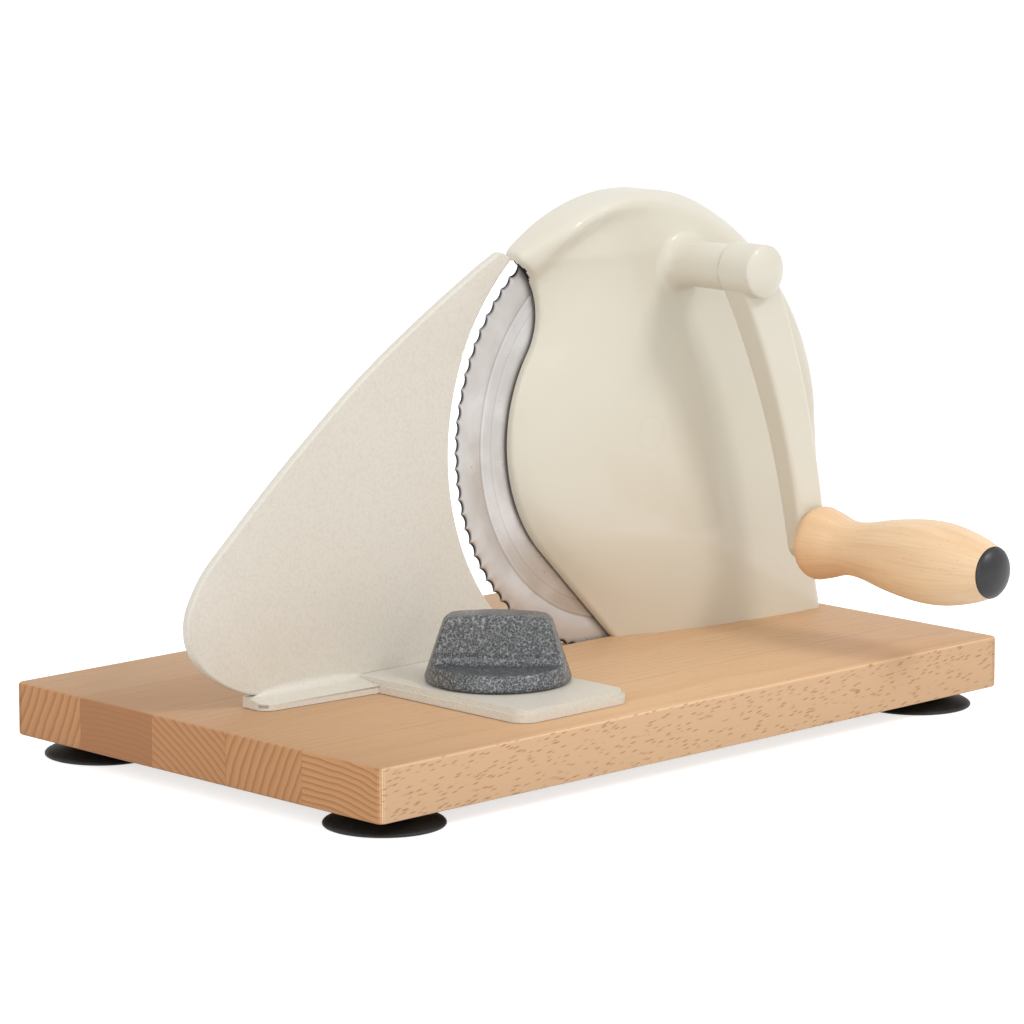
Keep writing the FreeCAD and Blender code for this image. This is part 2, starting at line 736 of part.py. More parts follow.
def make_set_screw():
    """Socket screw that locks the arm's hub to the shaft, on the side that faces away."""
    screw_axis = turn(20)
    base = V(crank_x, arm_back_y - hub_length / 2, crank_z) + screw_axis * shaft_radius
    screw = Part.makeCylinder(set_screw_radius, set_screw_length, base, screw_axis)
    socket = Part.makeCylinder(set_screw_socket, 2.5, base + screw_axis * (set_screw_length - 2.5), screw_axis)
    shaft_side = rod(shaft_radius, crank_centre, arm_back_y - hub_length, arm_back_y)
    return screw.cut([socket, shaft_side])


def make_grip_spindle():
    """Pin riveted into the arm's eye; the grip turns on it and a nut keeps it there."""
    shoulder_y = grip_end_y + grip_counterbore_depth - grip_washer_thickness - side_gap
    spindle = rod(spindle_radius, grip_centre, shoulder_y, arm_back_y)
    head = rod(spindle_rivet_radius, grip_centre, arm_back_y, arm_back_y + spindle_rivet_height)
    thread = rod(spindle_thread_radius, grip_centre, shoulder_y - grip_nut_height - grip_washer_thickness - 0.5, shoulder_y)
    return spindle.fuse([head, thread])


def make_grip_nut():
    """Washer and nut inside the grip's outer end."""
    shoulder_y = grip_end_y + grip_counterbore_depth - grip_washer_thickness - side_gap
    washer = rod(grip_washer_radius, grip_centre, shoulder_y - grip_washer_thickness, shoulder_y)
    washer = washer.cut(rod(spindle_thread_radius, grip_centre, shoulder_y - grip_washer_thickness, shoulder_y))
    nut_y = shoulder_y - grip_washer_thickness - grip_nut_height
    nut = hex_prism(grip_nut_width, grip_x, nut_y, grip_z, "y", grip_nut_height)
    nut = nut.cut(rod(spindle_thread_radius, grip_centre, nut_y, nut_y + grip_nut_height))
    return washer, nut


def make_grip():
    """Turned beech grip: a flared collar, a neck and a full belly.

    The stations are shares of the grip's length and of its largest radius."""
    stations = [(0.048, 0.90), (0.11, 0.812), (0.20, 0.676), (0.30, 0.70), (0.45, 0.876),
                (0.62, 1.0), (0.76, 0.982), (0.90, 0.818), (1.0, 0.618)]
    spots = []
    for along, across in stations:
        spots.append(V(grip_x + across * grip_radius, grip_start_y - along * grip_length, grip_z))
    curve = Part.BSplineCurve()
    curve.interpolate(spots)
    back_in = V(grip_x, grip_start_y, grip_z)
    back_rim = spots[0] - V(grip_collar_round, spots[0].y - grip_start_y, 0)
    collar = spots[0] - V(0.22 * grip_collar_round, spots[0].y - grip_start_y + 0.61 * grip_collar_round, 0)
    front_in = V(grip_x, grip_end_y, grip_z)
    edges = [line(back_in, back_rim), arc(back_rim, collar, spots[0]),
             curve.toShape(), line(spots[-1], front_in), line(front_in, back_in)]
    grip = turned(edges, grip_centre)
    bore = rod(spindle_radius + running_gap, grip_centre, grip_end_y, grip_start_y)
    counterbore = rod(grip_counterbore_radius, grip_centre, grip_end_y, grip_end_y + grip_counterbore_depth)
    return grip.cut([bore, counterbore])


def make_grip_cap():
    """Domed cap plugged into the grip's end."""
    rim = V(grip_x + cap_radius, grip_end_y, grip_z)
    crown = V(grip_x + cap_radius / 2, cap_end_y + dome_drop(cap_radius, cap_dome, cap_radius / 2), grip_z)
    pole = V(grip_x, cap_end_y, grip_z)
    spigot_y = grip_end_y + cap_spigot_length
    spigot_rim = V(grip_x + grip_counterbore_radius, grip_end_y, grip_z)
    spigot_end = V(grip_x + grip_counterbore_radius, spigot_y, grip_z)
    edges = [arc(pole, crown, rim), line(rim, spigot_rim), line(spigot_rim, spigot_end),
             line(spigot_end, V(grip_x, spigot_y, grip_z)), line(V(grip_x, spigot_y, grip_z), pole)]
    return turned(edges, grip_centre)


def plate_arc_centre():
    """Centre of the plate's long sloping edge, from two points on it and its radius."""
    ax, az = plate_left_point
    bx = plate_tip_x - plate_tip_width
    bz = plate_tip_low_z + plate_tip_rise
    chord = math.hypot(bx - ax, bz - az)
    drop = math.sqrt(plate_arc_radius**2 - chord**2 / 4)
    return V((ax + bx) / 2 + drop * (bz - az) / chord, 0, (az + bz) / 2 - drop * (bx - ax) / chord)


def make_stop_plate():
    """Stop plate with its foot strip and the stepped tongue under the knob, in one casting."""
    centre = plate_arc_centre()

    def slope_x(z):
        return centre.x - math.sqrt(plate_arc_radius**2 - (z - centre.z) ** 2)

    tip_z = centre.z + math.sqrt(plate_arc_radius**2 - (plate_tip_x - centre.x) ** 2)
    left = V(slope_x(plate_bottom_z), 0, plate_bottom_z)
    tip = V(plate_tip_x, 0, tip_z)
    tip_low = V(plate_tip_x, 0, plate_tip_low_z)
    middle_z = (plate_bottom_z + tip_z) / 2
    right_x = blade_x - math.sqrt(plate_clear_radius**2 - (plate_bottom_z - blade_z) ** 2)
    edges = [
        arc(left, V(slope_x(middle_z), 0, middle_z), tip),
        line(tip, tip_low),
        arc(tip_low, blade_centre - V(plate_clear_radius, 0, 0), V(right_x, 0, plate_bottom_z)),
        line(V(right_x, 0, plate_bottom_z), left),
    ]
    sheet = Part.Face(Part.Wire(edges))
    front_y = plate_back_y - plate_thickness
    sheet.translate(V(0, front_y, 0))
    sheet = sheet.extrude(V(0, plate_thickness, 0))
    left_edge = min(edges_along(sheet, V(0, 1, 0)), key=lambda e: e.CenterOfMass.x)
    sheet = sheet.makeFillet(plate_left_round, [left_edge])
    tip_edges = [e for e in edges_along(sheet, V(0, 1, 0)) if abs(e.CenterOfMass.x - plate_tip_x) < 0.1]
    sheet = sheet.makeFillet(tip_round, tip_edges)
    rims = []
    for edge in sheet.Edges:
        flat = edge.BoundBox.YLength < 0.01
        above = edge.BoundBox.ZMax > plate_bottom_z + 0.1
        if flat and above:
            rims.append(edge)
    sheet = sheet.makeFillet(plate_edge_round, rims)
    low_z = slide_gap
    strip_corners = [
        V(strip_left_x, plate_back_y, low_z), V(strip_left_x, strip_left_y, low_z),
        V(tongue_left_x + tongue_round, strip_right_y, low_z), V(tongue_right_x, strip_right_y, low_z),
        V(tongue_right_x, front_y, low_z), V(right_x - plate_edge_round, front_y, low_z),
        V(right_x - plate_edge_round, plate_back_y, low_z),
    ]
    strip = Part.Face(Part.makePolygon(strip_corners + strip_corners[:1]))
    strip = strip.extrude(V(0, 0, plate_bottom_z - low_z + 0.2))
    tongue_depth = front_y - tongue_front_y
    lower = Part.makeBox(tongue_right_x - tongue_left_x, tongue_depth, lower_layer, V(tongue_left_x, tongue_front_y, low_z))
    corners = [e for e in edges_along(lower, V(0, 0, 1)) if e.CenterOfMass.y < tongue_front_y + 1]
    lower = lower.makeFillet(tongue_round, corners)
    upper = Part.makeBox(tongue_right_x - tongue_left_x - 2 * layer_inset, tongue_depth - layer_inset, upper_layer,
                         V(tongue_left_x + layer_inset, tongue_front_y + layer_inset, low_z + lower_layer))
    corners = [e for e in edges_along(upper, V(0, 0, 1)) if e.CenterOfMass.y < tongue_front_y + 2 + layer_inset]
    upper = upper.makeFillet(tongue_round - layer_inset, corners)
    stop = sheet.fuse([strip, lower, upper])
    half = guide_bush_radius + guide_clearance
    slot_start = knob_y - guide_spacing
    slot_end = knob_y + stop_travel
    slot = Part.makeBox(2 * half, slot_end - slot_start, flange_top_z, V(knob_x - half, slot_start, 0))
    ends = [post(half, knob_x, slot_start, 0, flange_top_z), post(half, knob_x, slot_end, 0, flange_top_z)]
    pin_hole = post(follower_radius, knob_x, knob_y + scroll_start_radius, 0, flange_top_z)
    return stop.cut([slot, pin_hole] + ends).removeSplitter()


def make_follower_pin():
    """Pin that stands in the stop plate's tongue and follows the knob's scroll."""
    return post(follower_radius, knob_x, knob_y + scroll_start_radius, slide_gap, flange_top_z + follower_rise)


def scroll_groove():
    """Spiral groove in the knob's underside, one pin wide, as a solid to cut away."""
    half = follower_radius + scroll_clearance
    steps = 20
    inner = []
    outer = []
    for i in range(steps + 1):
        turned_by = scroll_turn * i / steps
        radius = scroll_start_radius - scroll_lead * turned_by
        angle = math.radians(90 - turned_by)
        out = V(math.cos(angle), math.sin(angle), 0)
        along = V(math.sin(angle), -math.cos(angle), 0) * radius - out * math.degrees(scroll_lead)
        along.normalize()
        normal = V(-along.y, along.x, 0)
        spot = out * radius
        inner.append(spot - normal * half)
        outer.append(spot + normal * half)
        if i == 0:
            start_cap = spot - along * half
        if i == steps:
            end_cap = spot + along * half
    side_a = Part.BSplineCurve()
    side_a.interpolate(inner)
    side_b = Part.BSplineCurve()
    side_b.interpolate(outer)
    edges = [side_a.toShape(), arc(inner[-1], end_cap, outer[-1]), side_b.toShape(), arc(outer[0], start_cap, inner[0])]
    face = Part.Face(Part.Wire(Part.__sortEdges__(edges)))
    face.translate(V(knob_x, knob_y, knob_bottom_z))
    return face.extrude(V(0, 0, scroll_depth))


def make_knob():
    """Hammered knob: a cone with two coves that leave a finger bar, and the scroll underneath."""
    low = knob_bottom_z
    high = low + knob_height
    axis = V(knob_x, knob_y, 0)
    foot = V(knob_x + knob_radius - 0.8, knob_y, low)
    foot_out = V(knob_x + knob_radius, knob_y, low + 1.2)
    shoulder = V(knob_x + knob_top_radius, knob_y, high - knob_crown - 1.5)
    brow_radius = knob_top_radius - 2.0
    brow = V(knob_x + brow_radius, knob_y, high - knob_crown)
    pole = V(knob_x, knob_y, high)
    crown = V(knob_x + brow_radius / 2, knob_y, high - dome_drop(brow_radius, knob_crown, brow_radius / 2))
    edges = [line(V(knob_x, knob_y, low), foot), line(foot, foot_out), line(foot_out, shoulder), line(shoulder, brow),
             arc(brow, crown, pole), line(pole, V(knob_x, knob_y, low))]
    knob = Part.Face(Part.Wire(edges)).revolve(axis, V(0, 0, 1), 360)
    ledge_z = low + knob_ledge
    reach = 2 * knob_radius
    for side in (1, -1):
        foot_half = bar_half_width + bar_draft * (high - ledge_z)
        a = V(0, side * bar_half_width, high + 5)
        b = V(0, side * (foot_half - 0.6), ledge_z + bar_cove)
        c = V(0, side * (foot_half + bar_cove - 1.2), ledge_z)
        mid = V(0, side * (foot_half + 0.3), ledge_z + 0.9)
        d = V(0, side * reach, ledge_z - 0.5)
        e = V(0, side * reach, high + 5)
        profile = Part.Face(Part.Wire([line(a, b), arc(b, mid, c), line(c, d), line(d, e), line(e, a)]))
        profile.translate(V(-reach, 0, 0))
        scoop = profile.extrude(V(2 * reach, 0, 0))
        scoop.rotate(V(0, 0, 0), V(0, 0, 1), bar_angle)
        scoop.translate(axis)
        knob = knob.cut(scoop)
    stud_hole = post(stud_radius, knob_x, knob_y, low, low + stud_grip)
    collar_hole = post(guide_bush_radius + guide_clearance, knob_x, knob_y, low, low + 1.0)
    return knob.cut([scroll_groove(), stud_hole, collar_hole])


def make_knob_stud():
    """Steel stud moulded into the knob; it turns in the guide bush and is held by a nut below."""
    low = stud_recess_depth - board_thickness - stud_thread
    return post(stud_radius, knob_x, knob_y, low, knob_bottom_z + stud_grip)


def make_stud_nut():
    """Washer and locking nut in the recess under the board."""
    seat = stud_recess_depth - board_thickness - side_gap
    washer = post(stud_washer_radius, knob_x, knob_y, seat - stud_washer_thickness, seat)
    washer = washer.cut(post(stud_radius, knob_x, knob_y, seat - stud_washer_thickness, seat))
    low = seat - stud_washer_thickness - stud_nut_height
    nut = hex_prism(stud_nut_width, knob_x, knob_y, low, "z", stud_nut_height)
    nut = nut.cut(post(stud_radius, knob_x, knob_y, low, low + stud_nut_height))
    return washer, nut


def make_guides():
    """Bush that carries the knob's stud and guides the tongue, and a plain guide pin beside it."""
    low = stud_recess_depth - board_thickness
    bush = post(guide_bush_radius, knob_x, knob_y, low, flange_top_z)
    bush = bush.cut(post(stud_radius + running_gap, knob_x, knob_y, low, flange_top_z))
    pin = post(guide_pin_radius, knob_x, knob_y - guide_spacing, -board_thickness / 2, flange_top_z)
    return bush, pin


def main():
    os.makedirs("parts", exist_ok=True)
    place("board", make_board())
    for name, (x, y) in foot_places().items():
        place(name, make_foot(x, y))
    place("foot_screws", make_foot_screws())
    place("housing", make_housing())
    screws, washers = make_housing_screws()
    place("housing_screws", screws)
    place("housing_washers", washers)
    place("blade", make_blade())
    place("blade_gear", make_blade_gear())
    place("gear_rivets", make_gear_rivets())
    place("blade_axle", make_blade_axle())
    blade_screw, blade_washer = make_blade_screw()
    place("blade_screw", blade_screw)
    place("blade_washer", blade_washer)
    front_bush, rear_bush = make_crank_bushes()
    place("crank_bush_front", front_bush)
    place("crank_bush_rear", rear_bush)
    place("crank_shaft", make_crank_shaft())
    place("crank_pinion", make_pinion())
    place("thrust_washer", make_thrust_washer())
    place("crank_arm", make_crank_arm())
    place("crank_set_screw", make_set_screw())
    place("grip_spindle", make_grip_spindle())
    washer, nut = make_grip_nut()
    place("grip_washer", washer)
    place("grip_nut", nut)
    place("grip", make_grip())
    place("grip_cap", make_grip_cap())
    place("stop_plate", make_stop_plate())
    place("follower_pin", make_follower_pin())
    place("knob", make_knob())
    place("knob_stud", make_knob_stud())
    washer, nut = make_stud_nut()
    place("knob_washer", washer)
    place("knob_nut", nut)
    bush, pin = make_guides()
    place("guide_bush", bush)
    place("guide_pin", pin)
    print("crank axis", to_part + crank_centre)
    print("blade axis", to_part + blade_centre)
    print("grip axis", to_part + grip_centre)
    print("knob axis", to_part + V(knob_x, knob_y, 0))
    print("origin shift", to_part, "cap end", cap_end_y)


main()
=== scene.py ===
"""Looks of a hand cranked bread slicer: oiled beech board on rubber feet, cream enamelled
housing and stop plate, scalloped steel blade, crank with a turned grip, hammered knob.

Shapes are worked out in millimetres from the board's top front left corner, as x along the
board, y from front to back and z above its top face, and at() gives the place in metres."""

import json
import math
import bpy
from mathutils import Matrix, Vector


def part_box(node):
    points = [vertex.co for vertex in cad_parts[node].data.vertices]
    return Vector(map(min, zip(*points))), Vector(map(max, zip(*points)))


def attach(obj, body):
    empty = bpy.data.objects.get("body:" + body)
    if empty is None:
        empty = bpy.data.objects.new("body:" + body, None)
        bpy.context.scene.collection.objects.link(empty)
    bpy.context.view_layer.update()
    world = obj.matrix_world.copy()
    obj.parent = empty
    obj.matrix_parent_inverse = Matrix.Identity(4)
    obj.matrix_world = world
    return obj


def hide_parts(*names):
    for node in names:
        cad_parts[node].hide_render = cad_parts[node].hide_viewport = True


bl_info = {
    "name": "Crank bread slicer",
    "version": (1, 0, 0),
    "blender": (4, 5, 0),
    "location": "View3D > Sidebar > Slicer",
    "description": "Builds the finished surfaces of a hand cranked bread slicer on its CAD frame",
    "category": "Add Mesh",
}

import bmesh
import bpy
import numpy as np
from mathutils import Vector

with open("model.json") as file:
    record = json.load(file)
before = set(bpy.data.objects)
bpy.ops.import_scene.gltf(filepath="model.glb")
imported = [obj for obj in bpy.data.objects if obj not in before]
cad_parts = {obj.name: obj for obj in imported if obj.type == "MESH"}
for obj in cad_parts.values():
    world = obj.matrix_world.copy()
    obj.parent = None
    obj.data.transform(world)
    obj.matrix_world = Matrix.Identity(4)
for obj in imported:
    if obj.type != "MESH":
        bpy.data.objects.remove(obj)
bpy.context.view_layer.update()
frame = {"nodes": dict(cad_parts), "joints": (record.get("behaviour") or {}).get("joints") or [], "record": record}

BOARD_LOW, BOARD_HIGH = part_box("board")
CORNER = Vector((BOARD_LOW.x, BOARD_LOW.y, BOARD_HIGH.z))
AXES = {joint["name"]: Vector(joint["pos_m"]) for joint in frame["joints"] if "pos_m" in joint}

# Sizes in millimetres, as in the CAD source
BOARD = (350.0, 214.0, 21.5)
BLADE_RADIUS = 92.5
BLADE_FRONT = 114.0
BLADE_THICKNESS = 1.3
BLADE_TEETH = 90
RIM_RADIUS = 100.0
WINDOW_RADIUS = 65.0
NOTCH_RADIUS = 27.0
NOTCH_ANGLE = 145.5
EDGE_BACK = BLADE_FRONT - 1.2
EDGE_FRONT = EDGE_BACK - 1.5
RIM_BACK = 117.0
WALL = 3.0
FOOT_INSET = 24.5
GRIP_START = 56.0
GRIP_LENGTH = 96.0
GRIP_RADIUS = 17.0
STAVE_WIDTH = 43.4
SCREW_XS = (282.0, 305.0, 328.0)
SCREW_Y = 107.0
STRIP_TOP = 4.7
CAMERA_PLACE = (-1174.078, -1275.344, 403.938)
CAMERA_TURN, CAMERA_RISE = -44.2289536725104, 10.08314019404478
CAMERA_LENS = 170.2575
SUNS = (((0, -2, 2), 50, 14, 0.85, 16), ((-2, -1, 1), 68, -64, 0.6, 50))  # place, lean, turn, energy, spread


def axis_place(joint):
    """Where a joint's axis lies, in millimetres from the board's corner, as x, y and z."""
    return [(value - start) * 1000 for value, start in zip(AXES[joint], CORNER)]


BLADE_X, _, BLADE_Z = axis_place("blade_turn")
CRANK_X, _, CRANK_Z = axis_place("crank_turn")
GRIP_X, _, GRIP_Z = axis_place("grip_spin")
KNOB_X, KNOB_Y, _ = axis_place("knob_turn")


def at(x, y, z):
    """Place in metres of a point given in millimetres from the board's corner."""
    return CORNER + Vector((x, y, z)) / 1000


def turn(angle):
    """Unit vector in the x-z plane, counted from x towards z, in degrees."""
    return np.array([math.cos(math.radians(angle)), math.sin(math.radians(angle))])


def smooth_step(value):
    value = np.clip(value, 0.0, 1.0)
    return value * value * (3 - 2 * value)


# Mesh helpers


def only(obj):
    """Selects one object and makes it active."""
    bpy.ops.object.select_all(action="DESELECT")
    obj.select_set(True)
    bpy.context.view_layer.objects.active = obj


def named(name):
    """Names the object just added, with its mesh, and settles its place into the mesh."""
    obj = bpy.context.view_layer.objects.active
    obj.name = name
    obj.data.name = name
    only(obj)
    bpy.ops.object.transform_apply(location=True, rotation=True, scale=True)
    return obj


def edit_all():
    """Enters edit mode with everything selected."""
    bpy.ops.object.mode_set(mode="EDIT")
    bpy.ops.mesh.select_all(action="SELECT")


def extruded(obj, *moves):
    """Extrudes all of an object by each move in turn, in millimetres."""
    edit_all()
    for move in moves:
        bpy.ops.mesh.extrude_region_move(TRANSFORM_OT_translate={"value": Vector(move) / 1000})
    bpy.ops.object.mode_set(mode="OBJECT")
    return tidied(obj)


def raw_places(obj):
    """Vertices as the mesh holds them, in metres."""
    co = np.zeros(len(obj.data.vertices) * 3)
    obj.data.vertices.foreach_get("co", co)
    return co.reshape(-1, 3)


def vertex_places(obj):
    """Vertices in millimetres from the board's corner."""
    return (raw_places(obj) - np.array(CORNER)) * 1000


def place_vertices(obj, x, y, z):
    """Moves the vertices to places in millimetres from the board's corner."""
    placed = np.column_stack([x, y, z]) / 1000 + np.array(CORNER)
    obj.data.vertices.foreach_set("co", placed.ravel())
    obj.data.update()


def apply_modifier(obj, kind, **settings):
    """Adds a modifier, sets it and applies it."""
    only(obj)
    modifier = obj.modifiers.new(kind.title(), kind)
    for key, value in settings.items():
        setattr(modifier, key, value)
    bpy.ops.object.modifier_apply(modifier=modifier.name)
    return obj


def carve(obj, cutter, operation="DIFFERENCE", solver="MANIFOLD"):
    """Boolean with another object, which is then removed."""
    apply_modifier(obj, "BOOLEAN", object=cutter, operation=operation, solver=solver)
    only(cutter)
    bpy.ops.object.delete()
    return obj


def joined(obj, others):
    """Joins other objects into one."""
    only(obj)
    for other in others:
        other.select_set(True)
    bpy.ops.object.join()
    return obj


def select_vertices(obj, chosen):
    """In edit mode, selects the vertices whose place passes a test, and what they span."""
    mesh = bmesh.from_edit_mesh(obj.data)
    for vertex in mesh.verts:
        vertex.select = bool(chosen(vertex.co))
    mesh.select_flush_mode()
    bmesh.update_edit_mesh(obj.data)


def select_edges(obj, chosen):
    """In edit mode, selects the edges that pass a test."""
    bpy.ops.mesh.select_mode(type="EDGE")
    mesh = bmesh.from_edit_mesh(obj.data)
    for edge in mesh.edges:
        edge.select = bool(chosen(edge))
    mesh.select_flush_mode()
    bmesh.update_edit_mesh(obj.data)


def trace(name, points, closed=False, filled=False):
    """Draws a line through points, extruding one vertex from point to point."""
    bpy.ops.object.select_all(action="DESELECT")
    bpy.ops.mesh.primitive_plane_add(size=0.001, location=(0, 0, 0))
    obj = bpy.context.object
    bpy.ops.object.mode_set(mode="EDIT")
    bpy.ops.mesh.select_mode(type="VERT")
    bpy.ops.mesh.select_all(action="SELECT")
    bpy.ops.mesh.merge(type="CENTER")
    bpy.ops.transform.translate(value=points[0])
    for before, after in zip(points, points[1:]):
        bpy.ops.mesh.extrude_region_move(TRANSFORM_OT_translate={"value": after - before})
    if closed:
        first, last = Vector(points[0]), Vector(points[-1])
        select_vertices(obj, lambda co: (co - first).length < 1e-6 or (co - last).length < 1e-6)
        bpy.ops.mesh.edge_face_add()
    if filled:
        bpy.ops.mesh.select_all(action="SELECT")
        bpy.ops.mesh.edge_face_add()
    bpy.ops.object.mode_set(mode="OBJECT")
    return named(name)


def tidied(obj):
    """Merges doubles and turns the faces outwards."""
    only(obj)
    edit_all()
    bpy.ops.mesh.remove_doubles(threshold=1e-6)
    bpy.ops.mesh.normals_make_consistent(inside=False)
    bpy.ops.object.mode_set(mode="OBJECT")
    return obj


def spun(name, profile, centre, axis="y", steps=96, closed=False):
    """Solid turned about an axis; the profile is (radius, height) pairs in millimetres.

    The height is y or z in the board's frame, and the centre the other two numbers."""
    if axis == "y":
        points = [at(centre[0] + r, h, centre[1]) for r, h in profile]
        middle, direction = at(centre[0], 0, centre[1]), (0, 1, 0)
    else:
        points = [at(centre[0] + r, centre[1], h) for r, h in profile]
        middle, direction = at(centre[0], centre[1], 0), (0, 0, 1)
    obj = trace(name, points, closed)
    edit_all()
    bpy.ops.mesh.spin(steps=steps, angle=2 * math.pi, center=middle, axis=direction)
    bpy.ops.object.mode_set(mode="OBJECT")
    return tidied(obj)


def prism(name, outline, low, high):
    """Solid with an outline of (x, z) pairs between two depths, all in millimetres."""
    obj = trace(name, [at(x, low, z) for x, z in outline], closed=True, filled=True)
    return extruded(obj, (0, high - low, 0))


def rod(name, radius, x, z, low, high, steps=64):
    """Cylinder along y between two depths."""
    bpy.ops.object.select_all(action="DESELECT")
    bpy.ops.mesh.primitive_cylinder_add(vertices=steps, radius=radius / 1000, depth=(high - low) / 1000,
                                        location=at(x, (low + high) / 2, z), rotation=(math.pi / 2, 0, 0))
    return named(name)


def post(name, radius, x, y, low, high, steps=48):
    """Upright cylinder between two heights."""
    bpy.ops.object.select_all(action="DESELECT")
    bpy.ops.mesh.primitive_cylinder_add(vertices=steps, radius=radius / 1000, depth=(high - low) / 1000,
                                        location=at(x, y, (low + high) / 2))
    return named(name)


def trimmed(obj, point, normal):
    """Cuts away what lies beyond a plane and closes the cut."""
    only(obj)
    edit_all()
    bpy.ops.mesh.bisect(plane_co=point, plane_no=normal, use_fill=True, clear_outer=True)
    bpy.ops.object.mode_set(mode="OBJECT")
    return obj


def cad_copy(node, name):
    """Copy of a CAD node's mesh with its loose triangles merged."""
    obj = bpy.data.objects.new(name, frame["nodes"][node].data.copy())
    obj.data.name = name
    bpy.context.scene.collection.objects.link(obj)
    only(obj)
    bpy.ops.mesh.customdata_custom_splitnormals_clear()
    edit_all()
    bpy.ops.mesh.remove_doubles(threshold=1e-6)
    bpy.ops.object.mode_set(mode="OBJECT")
    return obj


def soften(obj, voxel, rounds):
    """Remeshes a solid evenly and smooths it, as a cast or coated piece is."""
    apply_modifier(obj, "REMESH", mode="VOXEL", voxel_size=voxel / 1000, adaptivity=0.0)
    return apply_modifier(obj, "SMOOTH", factor=0.5, iterations=rounds)


def shade(obj, angle):
    """Smooth shading, with edges past an angle in degrees kept crisp."""
    only(obj)
    bpy.ops.object.shade_smooth_by_angle(angle=math.radians(angle))
    return obj


def dress(obj, body, slot, finish, *nodes):
    """Gives a finished piece its material and its body, in place of CAD nodes; the slot is not used."""
    obj.data.materials.clear()
    obj.data.materials.append(finish)
    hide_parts(*nodes)
    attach(obj, body)
    return obj


def arc_points(start, middle, end, spacing):
    """Points on the arc through three (x, z) points, about a spacing apart, ends included."""
    ax, az = start
    bx, bz = middle
    cx, cz = end
    d = 2 * (ax * (bz - cz) + bx * (cz - az) + cx * (az - bz))
    ux = ((ax**2 + az**2) * (bz - cz) + (bx**2 + bz**2) * (cz - az) + (cx**2 + cz**2) * (az - bz)) / d
    uz = ((ax**2 + az**2) * (cx - bx) + (bx**2 + bz**2) * (ax - cx) + (cx**2 + cz**2) * (bx - ax)) / d
    radius = math.hypot(ax - ux, az - uz)
    a, b, c = (math.atan2(z - uz, x - ux) for x, z in (start, middle, end))
    sweep = (c - a) % (2 * math.pi)
    if (b - a) % (2 * math.pi) > sweep:
        sweep -= 2 * math.pi
    count = max(2, int(abs(sweep) * radius / spacing))
    return [(ux + radius * math.cos(a + sweep * i / count), uz + radius * math.sin(a + sweep * i / count))
            for i in range(count + 1)]


def through(points, steps):
    """Smooth open curve through points (Catmull-Rom), as a list of pairs."""
    points = np.array(points, float)
    padded = np.vstack([2 * points[0] - points[1], points, 2 * points[-1] - points[-2]])
    found = []
    for i in range(1, len(padded) - 2):
        p0, p1, p2, p3 = padded[i - 1:i + 3]
        for t in np.arange(steps) / steps:
            found.append(0.5 * (2 * p1 + (p2 - p0) * t + (2 * p0 - 5 * p1 + 4 * p2 - p3) * t**2
                                + (3 * p1 - p0 - 3 * p2 + p3) * t**3))
    found.append(points[-1])
    return [tuple(p) for p in found]


# Materials


def tint(colour):
    """Linear colour from sRGB numbers of 0 to 1."""
    return tuple(c / 12.92 if c <= 0.04045 else ((c + 0.055) / 1.055) ** 2.4 for c in colour) + (1.0,)


def rgb(red, green, blue):
    return tint((red / 255, green / 255, blue / 255))


